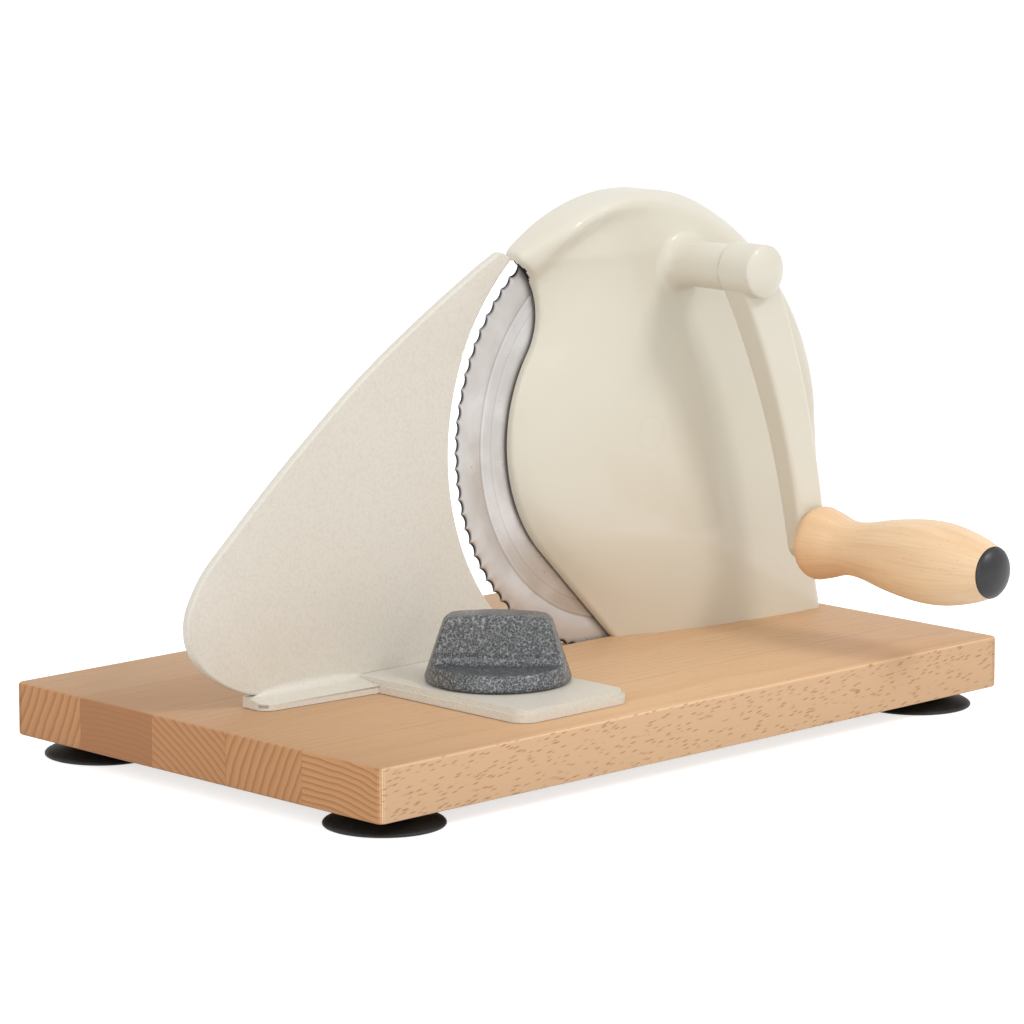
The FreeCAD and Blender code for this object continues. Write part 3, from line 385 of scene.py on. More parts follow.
class Finish:
    """A node material. What is the same all over is set on the shader's own sockets."""

    def __init__(self, name, **sockets):
        self.material = bpy.data.materials.new(name)
        self.material.use_nodes = True
        self.tree = self.material.node_tree
        self.shader = self.tree.nodes["Principled BSDF"]
        for socket in self.shader.inputs:
            key = socket.name.lower().replace(" ", "_")
            if key in sockets:
                socket.default_value = sockets[key]
        place = self.tree.nodes.new("ShaderNodeTexCoord")
        self.place = place.outputs["Object"]
        self.facing = place.outputs["Normal"]

    def feed(self, socket, value):
        if isinstance(value, bpy.types.NodeSocket):
            self.tree.links.new(value, socket)
        else:
            socket.default_value = value

    def node(self, kind, settings=None, **inputs):
        node = self.tree.nodes.new("ShaderNode" + kind)
        for key, value in (settings or {}).items():
            setattr(node, key, value)
        for key, value in inputs.items():
            self.feed(node.inputs[key.replace("_", " ")], value)
        return node.outputs[0]

    def math(self, operation, a, b=0.0):
        node = self.tree.nodes.new("ShaderNodeMath")
        node.operation = operation
        for socket, value in zip(node.inputs, (a, b)):
            self.feed(socket, value)
        return node.outputs[0]

    def plus(self, a, b):
        return self.math("ADD", a, b)

    def less(self, a, b):
        return self.math("SUBTRACT", a, b)

    def times(self, a, b):
        return self.math("MULTIPLY", a, b)

    def over(self, a, b):
        return self.math("DIVIDE", a, b)

    def span_of(self, a, b):
        """Length of a pair of distances."""
        return self.math("SQRT", self.plus(self.times(a, a), self.times(b, b)))

    def moved(self, *scale):
        """Object coordinates in millimetres over a scale."""
        return self.node("Mapping", Vector=self.place, Scale=[1000.0 / s for s in scale])

    def in_board(self):
        """Place in millimetres from the board's corner, as x, y and z."""
        return [self.times(self.less(value, start), 1000.0)
                for value, start in zip(self.split(self.place), CORNER)]

    def about(self, axis):
        """Millimetres from an axis along y: in x, in z, and the radius."""
        x, _, z = self.split(self.place)
        dx = self.times(self.less(x, axis.x), 1000.0)
        dz = self.times(self.less(z, axis.z), 1000.0)
        return dx, dz, self.span_of(dx, dz)

    def split(self, vector):
        node = self.tree.nodes.new("ShaderNodeSeparateXYZ")
        self.feed(node.inputs[0], vector)
        return node.outputs[0], node.outputs[1], node.outputs[2]

    def together(self, x, y, z):
        node = self.tree.nodes.new("ShaderNodeCombineXYZ")
        for socket, value in zip(node.inputs, (x, y, z)):
            self.feed(socket, value)
        return node.outputs[0]

    def scaled(self, values, lengths):
        """Three values over three lengths, as one vector."""
        return self.together(*[self.over(value, length) for value, length in zip(values, lengths)])

    def noise(self, vector, scale=1.0, detail=2.0, roughness=0.5):
        return self.node("TexNoise", Vector=vector, Scale=scale, Detail=detail, Roughness=roughness)

    def specks(self, size, **settings):
        """Noise of one size in millimetres."""
        return self.noise(self.moved(size, size, size), **settings)

    def span(self, value, low, high, to_low=0.0, to_high=1.0):
        """A value mapped from one range to another and held inside it."""
        node = self.tree.nodes.new("ShaderNodeMapRange")
        for key, given in (("Value", value), ("From Min", low), ("From Max", high),
                           ("To Min", to_low), ("To Max", to_high)):
            self.feed(node.inputs[key], given)
        return node.outputs[0]

    def ramp(self, value, *stops, steps=False):
        node = self.tree.nodes.new("ShaderNodeValToRGB")
        node.color_ramp.interpolation = "CONSTANT" if steps else "LINEAR"
        elements = node.color_ramp.elements
        while len(elements) < len(stops):
            elements.new(0.5)
        for element, (position, colour) in zip(elements, stops):
            element.position = position
            element.color = colour
        self.feed(node.inputs[0], value)
        return node.outputs[0]

    def mix(self, share, a, b, blend="MIX"):
        node = self.tree.nodes.new("ShaderNodeMix")
        node.data_type = "RGBA"
        node.blend_type = blend
        for index, value in ((0, share), (6, a), (7, b)):
            self.feed(node.inputs[index], value)
        return node.outputs[2]

    def bump(self, height, strength, distance):
        """Bump in millimetres; several are chained."""
        node = self.tree.nodes.new("ShaderNodeBump")
        node.inputs["Strength"].default_value = strength
        node.inputs["Distance"].default_value = distance / 1000
        self.feed(node.inputs["Height"], height)
        old = self.shader.inputs["Normal"]
        if old.links:
            self.tree.links.new(old.links[0].from_socket, node.inputs["Normal"])
        self.tree.links.new(node.outputs[0], old)

    def colour(self, value):
        self.feed(self.shader.inputs["Base Color"], value)

    def rough(self, value):
        self.feed(self.shader.inputs["Roughness"], value)

    def metal(self, value):
        self.feed(self.shader.inputs["Metallic"], value)


def oiled_beech():
    """Five glued staves: rings about each stave's own pith, flecks, and darker end grain."""
    wood = Finish("oiled_beech", roughness=0.55, specular_ior_level=0.12)
    place = wood.in_board()
    x, y, z = place
    stave = wood.math("FLOOR", wood.over(y, STAVE_WIDTH))
    key = wood.over(wood.plus(stave, 0.5), 5.0)
    # red and green hold the pith's place, 0.5 at the stave's corner and 1 unit for 400 mm; blue the spacing
    pith = wood.ramp(key, (0.0, (0.60, 0.05, 0.50, 1)), (0.2, (0.14, 0.28, 0.80, 1)),
                     (0.4, (0.78, 0.12, 0.60, 1)), (0.6, (0.56, 0.02, 0.45, 1)),
                     (0.8, (0.96, 0.67, 0.86, 1)), steps=True)
    py, pz, spacing = wood.split(pith)
    dy = wood.less(wood.less(y, wood.times(stave, STAVE_WIDTH)), wood.times(wood.less(py, 0.5), 400.0))
    dz = wood.less(z, wood.times(wood.less(pz, 0.5), 400.0))
    drift = wood.noise(wood.scaled(place, (90.0, 16.0, 16.0)), detail=3.0)
    rings = wood.plus(wood.over(wood.span_of(dy, dz), wood.times(spacing, 5.0)), wood.times(drift, 0.9))
    phase = wood.math("FRACT", rings)
    ring = wood.ramp(phase, (0.0, rgb(220, 186, 150)), (0.55, rgb(214, 178, 141)), (0.9, rgb(199, 160, 122)),
                     (1.0, rgb(220, 186, 150)))
    tone = wood.node("TexWhiteNoise", settings={"noise_dimensions": "1D"}, W=wood.plus(stave, 3.0))
    fibres = wood.noise(wood.scaled(place, (34.0, 0.8, 0.8)), detail=4.0, roughness=0.6)
    shades = ((0.0, 0.05), (0.2, 0.2), (0.4, 0.3), (0.6, 0.85), (0.8, 0.25))
    darker = wood.ramp(key, *[(start, (share, share, share, 1)) for start, share in shades], steps=True)
    base = wood.mix(0.6, ring, rgb(220, 184, 145))
    base = wood.mix(wood.times(darker, 0.55), base, rgb(186, 144, 104))
    base = wood.mix(wood.span(tone, 0.0, 1.0, 0.0, 0.22), base, rgb(204, 160, 118))
    base = wood.mix(wood.span(fibres, 0.38, 0.72, 0.0, 0.3), base, rgb(190, 146, 104))
    # Painted shade: top and front get darker towards the left end, where the stop plate's shadow falls, and a
    # little darker towards the right end.
    ends = wood.plus(wood.span(x, 0.0, 135.0, 0.62, 0.0), wood.span(x, 240.0, 350.0, 0.0, 0.25))
    base = wood.mix(ends, base, rgb(160, 120, 86))
    nx, ny, _ = wood.split(wood.facing)
    side = wood.span(wood.math("ABSOLUTE", ny), 0.5, 0.9)
    end = wood.span(wood.math("ABSOLUTE", nx), 0.5, 0.9)
    slanted = wood.scaled((wood.less(x, wood.times(z, 3.2)), y, z), (4.4, 3.0, 1.3))
    dashes = wood.span(wood.node("TexVoronoi", Vector=slanted, Scale=1.0), 0.14, 0.34, 1.0, 0.0)
    # Painted light: faces towards the front and back are painted lighter, as where the key light falls on the
    # front.
    base = wood.mix(wood.times(side, 0.75), base, rgb(242, 208, 170))
    base = wood.mix(wood.times(dashes, wood.span(side, 0.0, 1.0, 0.12, 0.9)), base, rgb(168, 122, 86))
    grain = wood.ramp(phase, (0.0, rgb(198, 149, 106)), (0.45, rgb(190, 141, 98)), (0.8, rgb(165, 116, 76)),
                      (1.0, rgb(198, 149, 106)))
    grain = wood.mix(darker, grain, rgb(160, 112, 78))
    pores = wood.specks(0.55, detail=1.0)
    grain = wood.mix(wood.span(pores, 0.45, 0.7, 0.0, 0.2), grain, rgb(165, 118, 82))
    base = wood.mix(end, base, grain)
    off = wood.less(wood.math("FRACT", wood.plus(wood.over(y, STAVE_WIDTH), 0.5)), 0.5)
    base = wood.mix(wood.span(wood.math("ABSOLUTE", off), 0.0, 0.008, 0.4, 0.0), base, rgb(150, 108, 74))
    wood.colour(base)
    wood.rough(wood.span(fibres, 0.3, 0.7, 0.42, 0.6))
    wood.bump(fibres, 0.25, 0.06)
    wood.bump(dashes, 0.2, -0.03)
    return wood.material


def waxed_beech():
    """Turned grip: fine grain lengthwise, short dark pores, a soft wax gloss."""
    wood = Finish("waxed_beech", roughness=0.4, specular_ior_level=0.4, coat_weight=0.15, coat_roughness=0.25)
    _, y_mm, _ = wood.in_board()
    dx, dz, _ = wood.about(AXES["grip_spin"])
    angle = wood.math("ARCTAN2", dz, dx)
    across, up = wood.math("COSINE", angle), wood.math("SINE", angle)

    def lengthwise(fine, long):
        return wood.together(wood.times(across, fine), wood.over(y_mm, long),
                             wood.times(up, fine))

    bands = wood.noise(lengthwise(3.0, 60.0), detail=3.0)
    fibres = wood.noise(lengthwise(17.0, 26.0), detail=4.0, roughness=0.6)
    base = wood.mix(wood.span(bands, 0.35, 0.68), rgb(237, 206, 167), rgb(228, 193, 153))
    base = wood.mix(wood.span(fibres, 0.42, 0.72, 0.0, 0.3), base, rgb(204, 160, 118))
    flecks = wood.node("TexVoronoi", Vector=lengthwise(11.0, 4.2), Scale=1.0)
    dashes = wood.span(flecks, 0.08, 0.2, 1.0, 0.0)
    base = wood.mix(wood.times(dashes, 0.3), base, rgb(184, 136, 94))
    # Painted shade: a darker, browner band just below the collar, where the grip meets the crank arm.
    base = wood.mix(wood.span(y_mm, GRIP_START - 26, GRIP_START - 6, 0.0, 0.3), base, rgb(214, 162, 112))
    wood.colour(base)
    wood.bump(fibres, 0.2, 0.05)
    return wood.material


def pebbled_enamel():
    """The stop plate's enamel over a finely pebbled casting."""
    paint = Finish("plate_enamel", roughness=0.42, specular_ior_level=0.45, coat_weight=0.15,
                   coat_roughness=0.3)
    pebbles = paint.node("TexVoronoi", settings={"feature": "SMOOTH_F1"},
                         Vector=paint.moved(1.25, 1.25, 1.25), Scale=1.0, Smoothness=0.6)
    grit = paint.specks(0.8)
    cloud = paint.specks(50)
    base = paint.mix(paint.span(cloud, 0.3, 0.7, 0.0, 0.4), rgb(213, 208, 197), rgb(208, 200, 187))
    # Painted shade: the seams between the pebbles, which the bump sinks, are painted darker.
    base = paint.mix(paint.span(pebbles, 0.35, 0.75, 0.0, 0.25), base, rgb(190, 182, 166))
    paint.colour(base)
    paint.bump(pebbles, 0.55, -0.12)
    paint.bump(grit, 0.35, 0.05)
    return paint.material


def hammered_grey():
    """Hammer lacquer: dark grey flakes with pale veins over dimples."""
    lacquer = Finish("hammered_grey", metallic=0.35, roughness=0.38, coat_weight=0.3, coat_roughness=0.15)
    cells = lacquer.node("TexVoronoi", Vector=lacquer.moved(1.0, 1.0, 1.0), Scale=1.0)
    grit = lacquer.specks(0.32, roughness=0.6)
    value = lacquer.plus(lacquer.times(cells, 0.3), lacquer.times(grit, 0.85))
    base = lacquer.ramp(value, (0.36, rgb(26, 27, 29)), (0.52, rgb(62, 64, 66)), (0.63, rgb(96, 98, 100)),
                        (0.77, rgb(160, 162, 164)))
    lacquer.colour(base)
    lacquer.rough(lacquer.span(grit, 0.3, 0.7, 0.3, 0.5))
    lacquer.bump(cells, 0.4, 0.08)
    lacquer.bump(grit, 0.3, 0.05)
    return lacquer.material


def blade_steel():
    """Finely turned steel: rings about the axle, soft streaks, painted shade with a painted highlight along two
    grooves, and the scallops painted dark as a painted reflection.
    """
    steel = Finish("blade_steel", metallic=0.55, roughness=0.34)
    dx, dz, radius = steel.about(AXES["blade_turn"])
    rings = steel.noise(steel.together(steel.over(radius, 0.5), 0.0, 0.0), detail=3.0)
    angle = steel.math("ARCTAN2", dz, dx)
    streaks = steel.noise(steel.together(steel.math("COSINE", angle), steel.math("SINE", angle),
                                         steel.over(radius, 60.0)), scale=3.5, detail=3.0)
    marks = steel.specks(6, detail=5.0, roughness=0.7)
    base = steel.mix(steel.span(rings, 0.35, 0.65, 0.0, 0.3), rgb(192, 188, 184), rgb(172, 168, 165))
    base = steel.mix(steel.span(streaks, 0.42, 0.62, 0.0, 0.6), base, rgb(212, 210, 211))
    # Painted shade with a painted highlight beside it at each groove: at 79 mm over the shallow groove in the
    # mesh, at 73 mm where the mesh has none.
    for groove, share in ((79.0, 0.35), (73.0, 0.15)):
        off = steel.less(radius, groove)
        near = steel.span(steel.math("ABSOLUTE", off), 0.2, 0.55, share, 0.0)
        base = steel.mix(near, base, rgb(112, 109, 111))
        glint = steel.math("ABSOLUTE", steel.plus(off, 1.0))
        base = steel.mix(steel.span(glint, 0.2, 0.8, 0.4 * share, 0.0), base, rgb(222, 221, 222))
    # Painted reflection: the ground scallops along the edge are painted near black, as the dark reflection the
    # bevel shows.
    tooth = steel.math("FRACT", steel.times(angle, BLADE_TEETH / (2 * math.pi)))
    tooth = steel.times(steel.less(tooth, 0.5), 2.0)
    hollow = steel.less(1.0, steel.times(tooth, tooth))
    inside = steel.less(steel.less(BLADE_RADIUS, steel.times(hollow, 1.3)), radius)
    ground = steel.times(steel.span(inside, 0.5, 1.4, 1.0, 0.0), steel.span(hollow, 0.0, 0.6, 0.55, 1.0))
    steel.colour(steel.mix(ground, base, rgb(48, 46, 48)))
    steel.rough(steel.span(marks, 0.3, 0.7, 0.26, 0.4))
    steel.bump(rings, 0.2, 0.01)
    return steel.material


def dark_primer():
    """Matt near-black coat on the casting's inner faces: painted shade that makes the gap along the window edge
    read dark.
    """
    coat = Finish("dark_primer", roughness=0.8, specular_ior_level=0.2)
    grit = coat.specks(1.2)
    coat.colour(coat.mix(coat.span(grit, 0.3, 0.7), rgb(22, 21, 21), rgb(34, 33, 32)))
    coat.bump(grit, 0.3, 0.05)
    return coat.material


def bare_metal(name, colour, worn, roughness, scale):
    """Turned or plated small parts with fine machining marks."""
    metal = Finish(name, metallic=1.0, roughness=roughness)
    marks = metal.specks(scale, detail=4.0, roughness=0.6)
    fine = metal.noise(metal.moved(0.4, 6.0, 0.4), detail=2.0)
    metal.colour(metal.mix(metal.span(marks, 0.3, 0.7), colour, worn))
    metal.rough(metal.span(marks, 0.3, 0.7, roughness - 0.06, roughness + 0.1))
    metal.bump(fine, 0.2, 0.02)
    return metal.material


def foot_rubber():
    """Matt black rubber with a faint bloom."""
    rubber = Finish("foot_rubber", roughness=0.55, specular_ior_level=0.4)
    bloom = rubber.specks(9, detail=3.0)
    grit = rubber.specks(0.7)
    rubber.colour(rubber.mix(rubber.span(bloom, 0.35, 0.7), rgb(20, 20, 19), rgb(33, 32, 30)))
    rubber.bump(grit, 0.25, 0.04)
    return rubber.material


def cap_plastic():
    """Dark moulded cap, slightly grained."""
    plastic = Finish("grip_cap_plastic", roughness=0.38, specular_ior_level=0.5)
    cloud = plastic.specks(5)
    grain = plastic.specks(0.5)
    plastic.colour(plastic.mix(plastic.span(cloud, 0.3, 0.7), rgb(28, 29, 31), rgb(37, 38, 40)))
    plastic.bump(grain, 0.25, 0.03)
    return plastic.material


# Settings


class SlicerSizes(bpy.types.PropertyGroup):
    """Sizes that a user may change, in metres."""

    board_round: bpy.props.FloatProperty(
        name="Board rim", description="Rounding of the board's rims",
        default=0.0012, min=0.0002, max=0.004, unit="LENGTH")
    housing_voxel: bpy.props.FloatProperty(
        name="Housing mesh", description="Size of the housing's mesh faces",
        default=0.0011, min=0.0007, max=0.004, unit="LENGTH")
    tooth_depth: bpy.props.FloatProperty(
        name="Tooth depth", description="Depth of the scallops in the blade's edge",
        default=0.0013, min=0.0, max=0.003, unit="LENGTH")


class SlicerColours(bpy.types.PropertyGroup):
    """Colours that a user may change."""

    enamel: bpy.props.FloatVectorProperty(
        name="Enamel", description="Colour of the housing and the crank",
        default=(0.835, 0.814, 0.754), min=0, max=1, size=3, subtype="COLOR_GAMMA")
    enamel_deep: bpy.props.FloatVectorProperty(
        name="Enamel, deeper", description="Deeper tone of the enamel",
        default=(0.82, 0.794, 0.726), min=0, max=1, size=3, subtype="COLOR_GAMMA")


def settings():
    return bpy.context.scene.slicer_sizes, bpy.context.scene.slicer_colours


def cream_enamel():
    """The housing's and the crank's sprayed enamel with its faint uneven skin, made once."""
    made = bpy.data.materials.get("sprayed_enamel")
    if made:
        return made
    colour, deeper = tint(settings()[1].enamel), tint(settings()[1].enamel_deep)
    paint = Finish("sprayed_enamel", roughness=0.42, specular_ior_level=0.4, coat_weight=0.45,
                   coat_roughness=0.1)
    cloud = paint.specks(45)
    speck = paint.specks(1.4, detail=1.0)
    base = paint.mix(paint.span(cloud, 0.3, 0.7, 0.0, 0.5), colour, deeper)
    base = paint.mix(paint.span(speck, 0.35, 0.7, 0.0, 0.12), base, deeper)
    _, _, radius = paint.about(AXES["blade_turn"])
    mark = paint.span(paint.math("ABSOLUTE", paint.less(radius, 7.0)), 0.1, 0.9, 1.0, 0.0)
    paint.colour(paint.mix(paint.times(mark, 0.12), base, rgb(196, 184, 158)))
    paint.rough(paint.span(cloud, 0.3, 0.7, 0.38, 0.46))
    paint.bump(paint.specks(2.2), 0.35, 0.05)
    paint.bump(mark, 0.3, -0.06)
    return paint.material


# Pieces


class BoardBuilder(bpy.types.Operator):
    """Glued beech board with soft rims, the blade's slot and the recesses underneath"""

    bl_idname = "slicer.board"
    bl_label = "Board"

    def execute(self, context):
        length, width, thickness = BOARD
        bpy.ops.object.select_all(action="DESELECT")
        bpy.ops.mesh.primitive_cube_add(size=1, location=at(length / 2, width / 2, -thickness / 2),
                                        scale=(length / 1000, width / 1000, thickness / 1000))
        board = named("beech_board")
        bpy.ops.object.mode_set(mode="EDIT")
        select_edges(board, lambda e: abs(e.verts[0].co.z - e.verts[1].co.z) > 0.01)
        bpy.ops.mesh.bevel(offset=0.003, segments=6)
        rim = {round(BOARD_LOW.z, 5), round(BOARD_HIGH.z, 5)}
        select_edges(board, lambda e: all(round(v.co.z, 5) in rim for v in e.verts) and not all(
            len(f.verts) > 4 for f in e.link_faces))
        bpy.ops.mesh.bevel(offset=settings()[0].board_round, segments=4)
        bpy.ops.object.mode_set(mode="OBJECT")
        slot = rod("cut", BLADE_RADIUS + WALL, BLADE_X, BLADE_Z, EDGE_BACK - 0.3, BLADE_FRONT + 2.2, 128)
        carve(board, slot)
        for x in SCREW_XS:
            carve(board, post("cut", 5.6, x, SCREW_Y, -thickness - 1, 5.5 - thickness))
        carve(board, post("cut", 9.0, KNOB_X, KNOB_Y, -thickness - 1, 9.0 - thickness))
        shade(board, 40)
        dress(board, "base", "oiled_beech", oiled_beech(), "board")
        return {"FINISHED"}


class FeetBuilder(bpy.types.Operator):
    """Four suction feet, turned once and copied"""

    bl_idname = "slicer.feet"
    bl_label = "Feet"

    def execute(self, context):
        length, width, thickness = BOARD
        table = -thickness - 7.5
        low = table + 0.05
        outer = through([(11.0, table + 7.5), (11.05, table + 5.5), (12.8, table + 3.9), (17.0, table + 2.9),
                         (21.4, table + 2.1), (23.0, table + 1.4)], 5)
        lip = through([(23.0, table + 1.4), (23.45, table + 0.8), (23.3, low + 0.1), (22.2, low)], 3)[1:]
        inside = through([(22.2, low), (18.6, table + 1.3), (13.2, table + 2.6), (5.2, table + 3.0)], 4)[1:]
        profile = outer + lip + inside + [(2.05, table + 3.0), (2.05, table + 7.5)]
        finish = foot_rubber()
        near, far_x, far_y = FOOT_INSET, length - FOOT_INSET, width - FOOT_INSET
        first = shade(spun("foot", profile, (near, near), "z", 72, closed=True), 50)
        places = {"foot_front_left": (near, near), "foot_front_right": (far_x, near),
                  "foot_back_left": (near, far_y), "foot_back_right": (far_x, far_y)}
        for node, (x, y) in places.items():
            only(first)
            bpy.ops.object.duplicate(linked=False)
            bpy.ops.transform.translate(value=((x - near) / 1000, (y - near) / 1000, 0))
            dress(named("rubber_" + node), "base", "foot_rubber", finish, node)
        only(first)
        bpy.ops.object.delete()
        return {"FINISHED"}


def window_edge(z):
    """Left edge of the housing's face at a height."""
    low = BLADE_Z - WINDOW_RADIUS * math.sin(math.radians(45))
    notch_x, notch_z = np.array([BLADE_X, BLADE_Z]) + turn(NOTCH_ANGLE) * (WINDOW_RADIUS + NOTCH_RADIUS)
    high = BLADE_Z + WINDOW_RADIUS * math.sin(math.radians(NOTCH_ANGLE))
    rise = np.minimum(np.abs(z - notch_z), 0.85 * NOTCH_RADIUS)
    foot = BLADE_X - WINDOW_RADIUS * math.cos(math.radians(45)) + (low - z)
    bow = BLADE_X - np.sqrt(np.maximum(WINDOW_RADIUS**2 - (z - BLADE_Z) ** 2, 0))
    return np.where(z < low, foot, np.where(z < high, bow, notch_x + np.sqrt(NOTCH_RADIUS**2 - rise**2)))


def face_depth(x, z):
    """How far the housing's face stands in front of its left edge: a wedge, a hood, a rolled rim."""
    run = np.maximum(0.0, x - window_edge(z))
    lip = 4.5 * smooth_step(z / 45.0) * (1 - 0.6 * smooth_step((z - 120.0) / 45.0))
    wedge = (21.5 - lip) * (1 - np.exp(-run / 47.0)) + lip * (1 - np.exp(-run / 5.0))
    radius = np.hypot(x - BLADE_X, z - BLADE_Z)
    beak_x = BLADE_X + RIM_RADIUS * math.cos(math.radians(127.0))
    reach = np.sqrt(smooth_step((x - beak_x + 3.0) / 26.0))
    over = np.where(z > BLADE_Z, 1.0, 0.0)
    hood = over * 15.0 * reach * smooth_step((radius - 80.0) / 17.0)
    gap = wedge - hood
    front = (wedge + hood + np.sqrt(gap * gap + 14.0)) / 2 - 0.7
    width = 3.5 + 11.5 * smooth_step((z - 50.0) / 120.0) * smooth_step((x - BLADE_X + 20.0) / 70.0)
    side = BLADE_X + RIM_RADIUS + 1.7 * np.minimum(1.0, (BLADE_Z - z) / (BLADE_Z - 14.0))
    side = side + 3.0 * (1 - smooth_step(z / 14.0))
    inside = np.where(z > BLADE_Z, RIM_RADIUS - radius, side - x)
    share = np.clip(1 - inside / width, 0.0, 1.25)
    return front - np.minimum(width, front - 1.0) * share**2.5


def housing_outline(inset, foot_z, spacing):
    """Outline of the housing seen from the front, drawn in by an inset, as (x, z) pairs."""
    centre = np.array([BLADE_X, BLADE_Z])
    low = WINDOW_RADIUS - inset
    notch = centre + turn(NOTCH_ANGLE) * (WINDOW_RADIUS + NOTCH_RADIUS)
    notch_r = NOTCH_RADIUS + inset
    outer = RIM_RADIUS - inset
    corner = centre + turn(225) * low
    tangent = centre + turn(NOTCH_ANGLE) * low
    beak_low = notch + turn(52.0 - 5.0 * inset) * notch_r
    beak_high = centre + turn(127.0 - 4.0 * inset) * outer
    tip = (beak_low + beak_high) / 2 - np.array([2.0 if inset == 0 else -1.0, 0])
    side = np.array([341.0 - inset, 14.0])
    foot_right = np.array([344.0 - inset, foot_z])
    flare = np.array([341.0 - inset + 0.75, (14.0 + foot_z) / 2])
    points = [(corner[0] + corner[1] - foot_z, foot_z)]
    arcs = ((corner, centre - [low, 0], tangent), (tangent, notch + [notch_r, 0], beak_low),
            (beak_low, tip, beak_high), (beak_high, centre + turn(60) * outer, centre + [outer, 0]),
            (side, flare, foot_right))
    for places in arcs:
        arc = arc_points(*[tuple(place) for place in places], spacing)
        points += [p for p in arc if math.hypot(p[0] - points[-1][0], p[1] - points[-1][1]) > 0.05]
    return points


def face_slab(name, shift, step, thickness=60.0):
    """Thick slab whose front is the housing's face, moved back by a shift."""
    x_low, x_high, z_low, z_high = 150.0, 352.0, -12.0, 196.0
    columns = int((x_high - x_low) / step)
    rows = int((z_high - z_low) / step)
    bpy.ops.object.select_all(action="DESELECT")
    bpy.ops.mesh.primitive_grid_add(x_subdivisions=columns, y_subdivisions=rows, size=1)
    slab = named(name)
    across, up, _ = raw_places(slab).T
    x = x_low + (across + 0.5) * (x_high - x_low)
    z = z_low + (up + 0.5) * (z_high - z_low)
    place_vertices(slab, x, EDGE_FRONT - face_depth(x, z) + shift, z)
    return extruded(slab, (0, thickness, 0))


class HousingBuilder(bpy.types.Operator):
    """Enamelled casting over the gears: wedge-shaped face, beak, hood and the crank's boss"""

    bl_idname = "slicer.housing"
    bl_label = "Housing"

    def execute(self, context):
        outline = housing_outline(0.0, 0.0, 1.0)
        long_foot = [(outline[0][0] + 4.0, -4.0)] + outline + [(344.0, -4.0)]
        housing = prism("housing_cover", long_foot, 60.0, RIM_BACK + 4.0)
        carve(housing, face_slab("slab", 0.0, 1.1), "INTERSECT")
        face_y = EDGE_FRONT - float(face_depth(np.array(CRANK_X), np.array(CRANK_Z)))
        boss = spun("boss", [(0, 65.9), (9.1, 65.9), (9.6, 66.4), (9.6, face_y - 8), (9.9, face_y - 5),
                             (10.8, face_y - 2), (12.6, face_y + 0.5), (12.6, face_y + 3), (0, face_y + 3)],
                    (CRANK_X, CRANK_Z), steps=72)
        joined(housing, [boss])
        soften(housing, settings()[0].housing_voxel * 1000, 3)
        x, y, z = vertex_places(housing).T
        radius = np.hypot(x - BLADE_X, z - BLADE_Z)
        rim = smooth_step((radius - 80.0) / 8.0) * smooth_step((z - 50.0) / 40.0)
        rim = rim * smooth_step((114.0 - y) / 4.0)
        right = smooth_step((x - 330.0) / 5.0) * smooth_step((112.0 - y) / 6.0)
        from_crank = np.hypot(x - CRANK_X, z - CRANK_Z)
        root = smooth_step((16.0 - from_crank) / 4.0) * smooth_step((y - face_y + 7) / 3.0)
        group = housing.vertex_groups.new(name="soft")
        weight = np.maximum(np.maximum(rim, right), root)
        for index in np.nonzero(weight > 0.02)[0]:
            group.add([int(index)], float(weight[index]), "REPLACE")
        apply_modifier(housing, "SMOOTH", factor=0.5, iterations=14, vertex_group="soft")
        trimmed(housing, at(0, 0, 0), (0, 0, -1))
        trimmed(housing, at(0, RIM_BACK, 0), (0, 1, 0))
        inner = prism("inner", housing_outline(WALL, 5.0, 3.0), 50.0, RIM_BACK + 6)
        carve(inner, face_slab("inner_slab", WALL, 4.0, 90.0), "INTERSECT")
        carve(housing, inner)
        carve(housing, rod("cut", 97.0, BLADE_X, BLADE_Z, EDGE_BACK, RIM_BACK + 5, 160))
        carve(housing, rod("cut", 5.6, CRANK_X, CRANK_Z, 60.0, 108.0, 48))
        stubs = []
        for screw_x in SCREW_XS:
            stub = post("stub", 5.2, screw_x, SCREW_Y, 0, 20.0, 32)
            stubs.append(carve(stub, post("cut", 2.5, screw_x, SCREW_Y, -1, 18.0, 24)))
        joined(housing, stubs)
        shade(housing, 40)
        dress(housing, "base", "cream_enamel", cream_enamel(), "housing")
        # Inner faces get the near-black coat: painted shade, so the gap along the window edge reads dark.
        housing.data.materials.append(dark_primer())
        for face in housing.data.polygons:
            x, y, z = (Vector(face.center) - CORNER) * 1000
            depth = y - EDGE_FRONT + float(face_depth(np.array(x), np.array(z)))
            within = math.hypot(x - BLADE_X, z - BLADE_Z) < 97.3 if z > BLADE_Z else x < 338.4 and z > 4.8
            if within and y < RIM_BACK - 0.3 and (depth > 3.2 or (depth > 1.0 and face.normal.y > 0.3)):
                face.material_index = 1
        return {"FINISHED"}


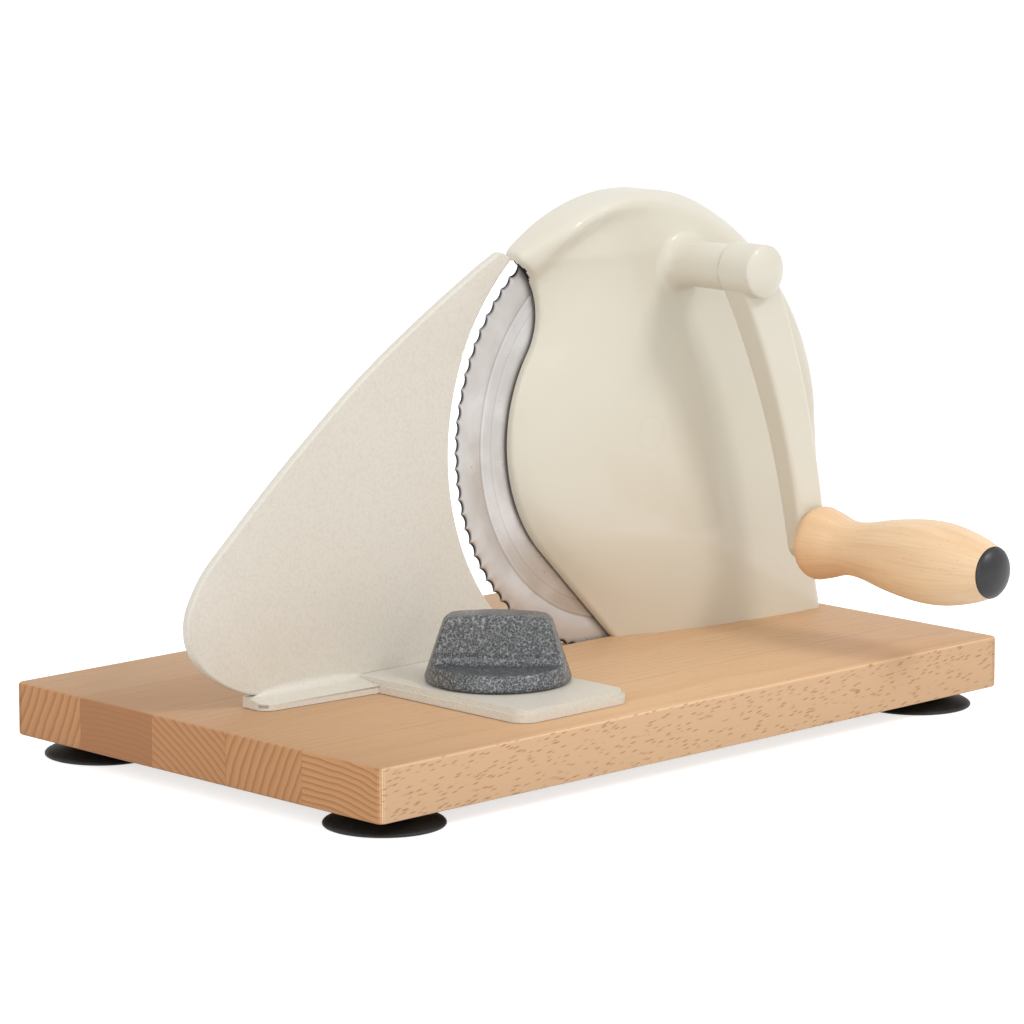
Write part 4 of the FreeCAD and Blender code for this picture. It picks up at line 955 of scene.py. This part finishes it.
class BladeBuilder(bpy.types.Operator):
    """Round blade with turned rings and ninety ground scallops"""

    bl_idname = "slicer.blade"
    bl_label = "Blade"

    def execute(self, context):
        front, back = BLADE_FRONT, BLADE_FRONT + BLADE_THICKNESS
        profile = [(8.0, back), (8.0, front), (78.8, front), (78.9, front + 0.03), (79.1, front + 0.03),
                   (79.2, front), (87.0, front), (87.8, front + 0.06), (88.6, front + 0.12),
                   (89.4, front + 0.2),
                   (90.2, front + 0.3), (91.0, front + 0.42), (91.8, front + 0.55), (92.5, front + 0.75),
                   (92.5, front + 1.0), (91.4, back), (89.8, back)]
        blade = spun("scalloped_blade", profile, (BLADE_X, BLADE_Z), steps=BLADE_TEETH * 10, closed=True)
        depth = settings()[0].tooth_depth * 1000
        x, y, z = vertex_places(blade).T
        dx, dz = x - BLADE_X, z - BLADE_Z
        radius = np.hypot(dx, dz)
        share = (np.arctan2(dz, dx) / (2 * math.pi) * BLADE_TEETH) % 1.0 - 0.5
        hollow = 1 - (2 * share) ** 2
        start = 87.0
        shrunk = radius - depth * hollow * ((radius - start) / (BLADE_RADIUS - start))
        wanted = np.where(radius > start, shrunk, radius)
        dip = np.maximum(0.0, wanted - BLADE_RADIUS + 2.6 * np.sqrt(hollow)) * 0.2
        ground = np.where((y < front + 0.8) & (radius > start), y + np.minimum(dip, 0.55), y)
        scale = wanted / np.maximum(radius, 1e-6)
        place_vertices(blade, BLADE_X + dx * scale, np.minimum(ground, back - 0.12 * (y < back - 0.01)),
                       BLADE_Z + dz * scale)
        shade(blade, 25)
        dress(blade, "blade", "blade_steel", blade_steel(), "blade")
        return {"FINISHED"}


class ArmBuilder(bpy.types.Operator):
    """Cast crank arm, softened from its CAD solid"""

    bl_idname = "slicer.arm"
    bl_label = "Crank arm"

    def execute(self, context):
        arm = soften(cad_copy("crank_arm", "cast_crank_arm"), 0.6, 4)
        shade(arm, 50)
        dress(arm, "crank", "cream_enamel", cream_enamel(), "crank_arm")
        return {"FINISHED"}


class GripBuilder(bpy.types.Operator):
    """Turned beech grip and its domed cap"""

    bl_idname = "slicer.grip"
    bl_label = "Grip"

    def execute(self, context):
        start, end = GRIP_START, GRIP_START - GRIP_LENGTH
        shares = [(0.048, 0.90), (0.11, 0.812), (0.20, 0.676), (0.30, 0.70), (0.45, 0.876), (0.62, 1.0),
                  (0.76, 0.982), (0.90, 0.818), (1.0, 0.618)]
        belly = through([(r * GRIP_RADIUS, start - s * GRIP_LENGTH) for s, r in shares], 6)
        collar = [(12.6, start), (13.6, start - 0.3), (14.5, start - 1.0), (15.05, start - 2.1),
                  (15.3, start - 3.3)]
        profile = [(4.05, start)] + collar + belly + [(7.6, end), (7.6, end + 16.0), (4.05, end + 16.0)]
        grip = shade(spun("beech_grip", profile, (GRIP_X, GRIP_Z), closed=True), 40)
        dress(grip, "grip", "waxed_beech", waxed_beech(), "grip")
        dome = [(10.4 * math.sin(a), end - 3.8 * math.cos(a) ** 1.3) for a in np.linspace(0, math.pi / 2, 14)]
        cap = dome + [(10.6, end), (10.6, end + 0.6), (10.2, end + 0.9), (7.6, end + 0.9), (7.6, end + 4.0),
                      (0.0, end + 4.0)]
        piece = shade(spun("dark_grip_cap", cap, (GRIP_X, GRIP_Z), steps=72), 40)
        dress(piece, "grip", "grip_cap_plastic", cap_plastic(), "grip_cap")
        return {"FINISHED"}


def strip_corner():
    """What lies outside the rounded left front corner of the stop plate's strip."""
    radius, x, y = 6.17, 39.0, 107.1
    turns = np.linspace(-math.pi / 2, -math.pi, 11)
    bow = [(x + radius * math.cos(a), y + radius * math.sin(a)) for a in turns]
    outline = [(30.0, 98.0), (x, 98.0)] + bow + [(30.0, y)]
    corner = trace("strip_corner", [at(*pair, -2.0) for pair in outline], closed=True, filled=True)
    return extruded(corner, (0, 0, 14.0))


def strip_cove():
    """Cove that leads from the stop plate's face to the front edge of its strip."""
    plate_y, front_y, foot_z, rise = 110.9, 102.3, 2.44, 5.2
    curve = [(front_y + 8.12 * math.sin(a), foot_z + rise * (1 - math.cos(a)))
             for a in np.linspace(0, math.pi / 2, 13)]
    corners = [(plate_y, 1.2), (front_y, 1.2)] + curve + [(plate_y, foot_z + rise)]
    cove = trace("cove", [at(33.1, y, z) for y, z in corners], closed=True, filled=True)
    cove = extruded(cove, *[(2.5, 0, 0)] * 24)
    x, y, z = vertex_places(cove).T
    height = np.interp(x, (33, 37, 42, 50, 78, 88, 94), (0.2, 0.55, 0.85, 1.0, 1.0, 0.75, 0.4))
    wider = 1 + 0.0104 * (x - 33)
    raised = np.where(z > foot_z, foot_z + (z - foot_z) * height, z)
    place_vertices(cove, x, plate_y - (plate_y - y) * wider, raised)
    return carve(cove, strip_corner())


class StopPlateBuilder(bpy.types.Operator):
    """Stop plate with its foot strip and stepped tongue"""

    bl_idname = "slicer.stop_plate"
    bl_label = "Stop plate"

    def execute(self, context):
        plate = cad_copy("stop_plate", "pebbled_stop_plate")
        x, y, z = vertex_places(plate).T
        left = np.interp(
            z, (4, 10, 16, 24, 36, 48, 54, 59, 64, 74.6, 85, 95.4, 105.7, 116, 126, 136, 146, 155.7, 165),
            (33, 22, 16, 11, 9.2, 10.4, 13, 16.6, 21.8, 33.7, 45.7, 58.7, 71.7, 85.7, 100.8, 116.4, 133,
             150.2, 171.6))
        right = BLADE_X - np.sqrt(99.5**2 - np.minimum(np.abs(z - BLADE_Z), 99.0) ** 2)
        fuller = np.interp(
            z, (8, 16, 24, 30, 36, 42, 48, 54, 60, 66, 85, 95, 105, 115, 125, 145, 155, 165),
            (0, 3.2, 5.6, 6.2, 5.8, 4.9, 3.2, 1.9, 0.8, 0.3, 0.6, 1.1, 1.4, 2.4, 3.1, 3.6, 4.3, 4.8))
        share = np.clip((right - x) / np.maximum(right - left, 1.0), 0.0, 1.03)
        strip_edge = (abs(z - STRIP_TOP) < 0.06) & (y < 104.5) & (x < 91)
        place_vertices(plate, x - fuller * share, y, np.where(strip_edge, 2.4, z))
        carve(plate, strip_corner())
        joined(plate, [strip_cove()])
        shade(plate, 30)
        dress(plate, "stop", "plate_enamel", pebbled_enamel(), "stop_plate")
        return {"FINISHED"}


class KnobBuilder(bpy.types.Operator):
    """Hammered knob with its finger bar, softened from its CAD solid"""

    bl_idname = "slicer.knob"
    bl_label = "Knob"

    def execute(self, context):
        knob = soften(cad_copy("knob", "hammered_knob"), 0.6, 5)
        shade(knob, 60)
        dress(knob, "knob", "hammered_grey", hammered_grey(), "knob")
        return {"FINISHED"}


METALS = {
    "zinc_steel": (rgb(190, 192, 194), rgb(160, 163, 168), 0.3, 3.0),
    "gear_steel": (rgb(150, 150, 150), rgb(112, 111, 110), 0.36, 2.5),
    "dark_steel": (rgb(70, 70, 72), rgb(48, 48, 50), 0.4, 2.5),
    "bush_bronze": (rgb(186, 142, 84), rgb(150, 108, 62), 0.36, 3.0),
}


class HardwareFinisher(bpy.types.Operator):
    """Metal finishes for the small CAD parts that stay as they are"""

    bl_idname = "slicer.hardware"
    bl_label = "Hardware"

    def execute(self, context):
        finishes = {name: bare_metal(name, *look) for name, look in METALS.items()}
        slots = {part["node"]: part["material_slot"] for part in frame["record"]["subparts"]}
        for name, node in frame["nodes"].items():
            if node.hide_render:
                continue
            finish = finishes.get(slots[name], finishes["zinc_steel"])
            node.data.materials.clear()
            node.data.materials.append(finish)
        return {"FINISHED"}


def direct_rays(tree):
    """1 for rays from the camera, a mirror or clear matter, 0 for light between surfaces."""
    rays = tree.nodes.new("ShaderNodeLightPath")
    seen = rays.outputs["Is Camera Ray"]
    for kind in ("Is Glossy Ray", "Is Transmission Ray"):
        either = tree.nodes.new("ShaderNodeMath")
        either.operation = "MAXIMUM"
        tree.links.new(seen, either.inputs[0])
        tree.links.new(rays.outputs[kind], either.inputs[1])
        seen = either.outputs[0]
    return seen


class StageBuilder(bpy.types.Operator):
    """Camera at the photograph's place, pale floor, a soft key light and an even surround"""

    bl_idname = "slicer.stage"
    bl_label = "Stage"

    def execute(self, context):
        scene = context.scene
        scene.view_settings.view_transform = "Standard"
        turned, raised = math.radians(CAMERA_TURN), math.radians(CAMERA_RISE)
        flat = math.cos(raised)
        back = Vector((math.sin(turned) * flat, -math.cos(turned) * flat, math.sin(raised)))
        bpy.ops.object.select_all(action="DESELECT")
        bpy.ops.object.camera_add(location=at(*CAMERA_PLACE))
        camera = context.object
        camera.name = "camera"
        camera.rotation_mode = "QUATERNION"
        camera.rotation_quaternion = (-back).to_track_quat("-Z", "Y")
        camera.data.sensor_width = 36.0
        camera.data.lens = CAMERA_LENS
        camera.data.clip_start, camera.data.clip_end = 0.1, 60.0
        scene.camera = camera
        bpy.ops.mesh.primitive_plane_add(size=24.0, location=(0, 4.0, -0.0002))
        floor = named("floor")
        floor.data.materials.append(self.floor_paint())
        for place, lean, turned, energy, spread in SUNS:
            rotation = (math.radians(lean), 0, math.radians(turned))
            bpy.ops.object.light_add(type="SUN", location=place, rotation=rotation)
            context.object.data.energy = energy
            context.object.data.angle = math.radians(spread)
        world = scene.world or bpy.data.worlds.new("surround")
        scene.world = world
        world.use_nodes = True
        tree = world.node_tree
        tree.nodes.clear()
        out = tree.nodes.new("ShaderNodeOutputWorld")
        light = tree.nodes.new("ShaderNodeBackground")
        level = tree.nodes.new("ShaderNodeMapRange")
        level.inputs["To Min"].default_value = 0.92
        level.inputs["To Max"].default_value = 1.0
        tree.links.new(direct_rays(tree), level.inputs["Value"])
        light.inputs["Color"].default_value = (1, 1, 1, 1)
        tree.links.new(level.outputs[0], light.inputs["Strength"])
        tree.links.new(light.outputs[0], out.inputs[0])
        return {"FINISHED"}

    def floor_paint(self):
        """White to the camera, and still a little darker where the object shades it."""
        paint = Finish("floor_paint", roughness=0.9, specular_ior_level=0.0)
        paint.colour(paint.mix(paint.span(paint.specks(900), 0.3, 0.7), (0.70, 0.70, 0.70, 1),
                               (0.72, 0.72, 0.72, 1)))
        glow = paint.tree.nodes.new("ShaderNodeEmission")
        paint.feed(glow.inputs["Strength"], paint.times(direct_rays(paint.tree), 0.7))
        add = paint.tree.nodes.new("ShaderNodeAddShader")
        paint.tree.links.new(paint.shader.outputs[0], add.inputs[0])
        paint.tree.links.new(glow.outputs[0], add.inputs[1])
        paint.tree.links.new(add.outputs[0], paint.tree.nodes["Material Output"].inputs["Surface"])
        return paint.material


STEPS = (BoardBuilder, FeetBuilder, HousingBuilder, BladeBuilder, ArmBuilder, GripBuilder, StopPlateBuilder,
         KnobBuilder, HardwareFinisher, StageBuilder)


class SlicerPanel(bpy.types.Panel):
    """Lists the slicer's settings and its building steps"""

    bl_idname = "VIEW3D_PT_slicer"
    bl_label = "Bread slicer"
    bl_space_type = "VIEW_3D"
    bl_region_type = "UI"
    bl_category = "Slicer"

    def draw(self, context):
        sizes, colours = settings()
        for group in (sizes, colours):
            for key in group.__annotations__:
                self.layout.prop(group, key)
        for step in STEPS:
            self.layout.operator(step.bl_idname)


CLASSES = (SlicerSizes, SlicerColours, *STEPS, SlicerPanel)


def register():
    for item in CLASSES:
        bpy.utils.register_class(item)
    bpy.types.Scene.slicer_sizes = bpy.props.PointerProperty(type=SlicerSizes)
    bpy.types.Scene.slicer_colours = bpy.props.PointerProperty(type=SlicerColours)


def unregister():
    del bpy.types.Scene.slicer_colours
    del bpy.types.Scene.slicer_sizes
    for item in reversed(CLASSES):
        bpy.utils.unregister_class(item)


def main():
    register()
    for step in STEPS:
        group, action = step.bl_idname.split(".")
        result = getattr(getattr(bpy.ops, group), action)()
        if result != {"FINISHED"}:
            raise RuntimeError(step.bl_label + " was not finished")


if __name__ == "__main__":
    main()
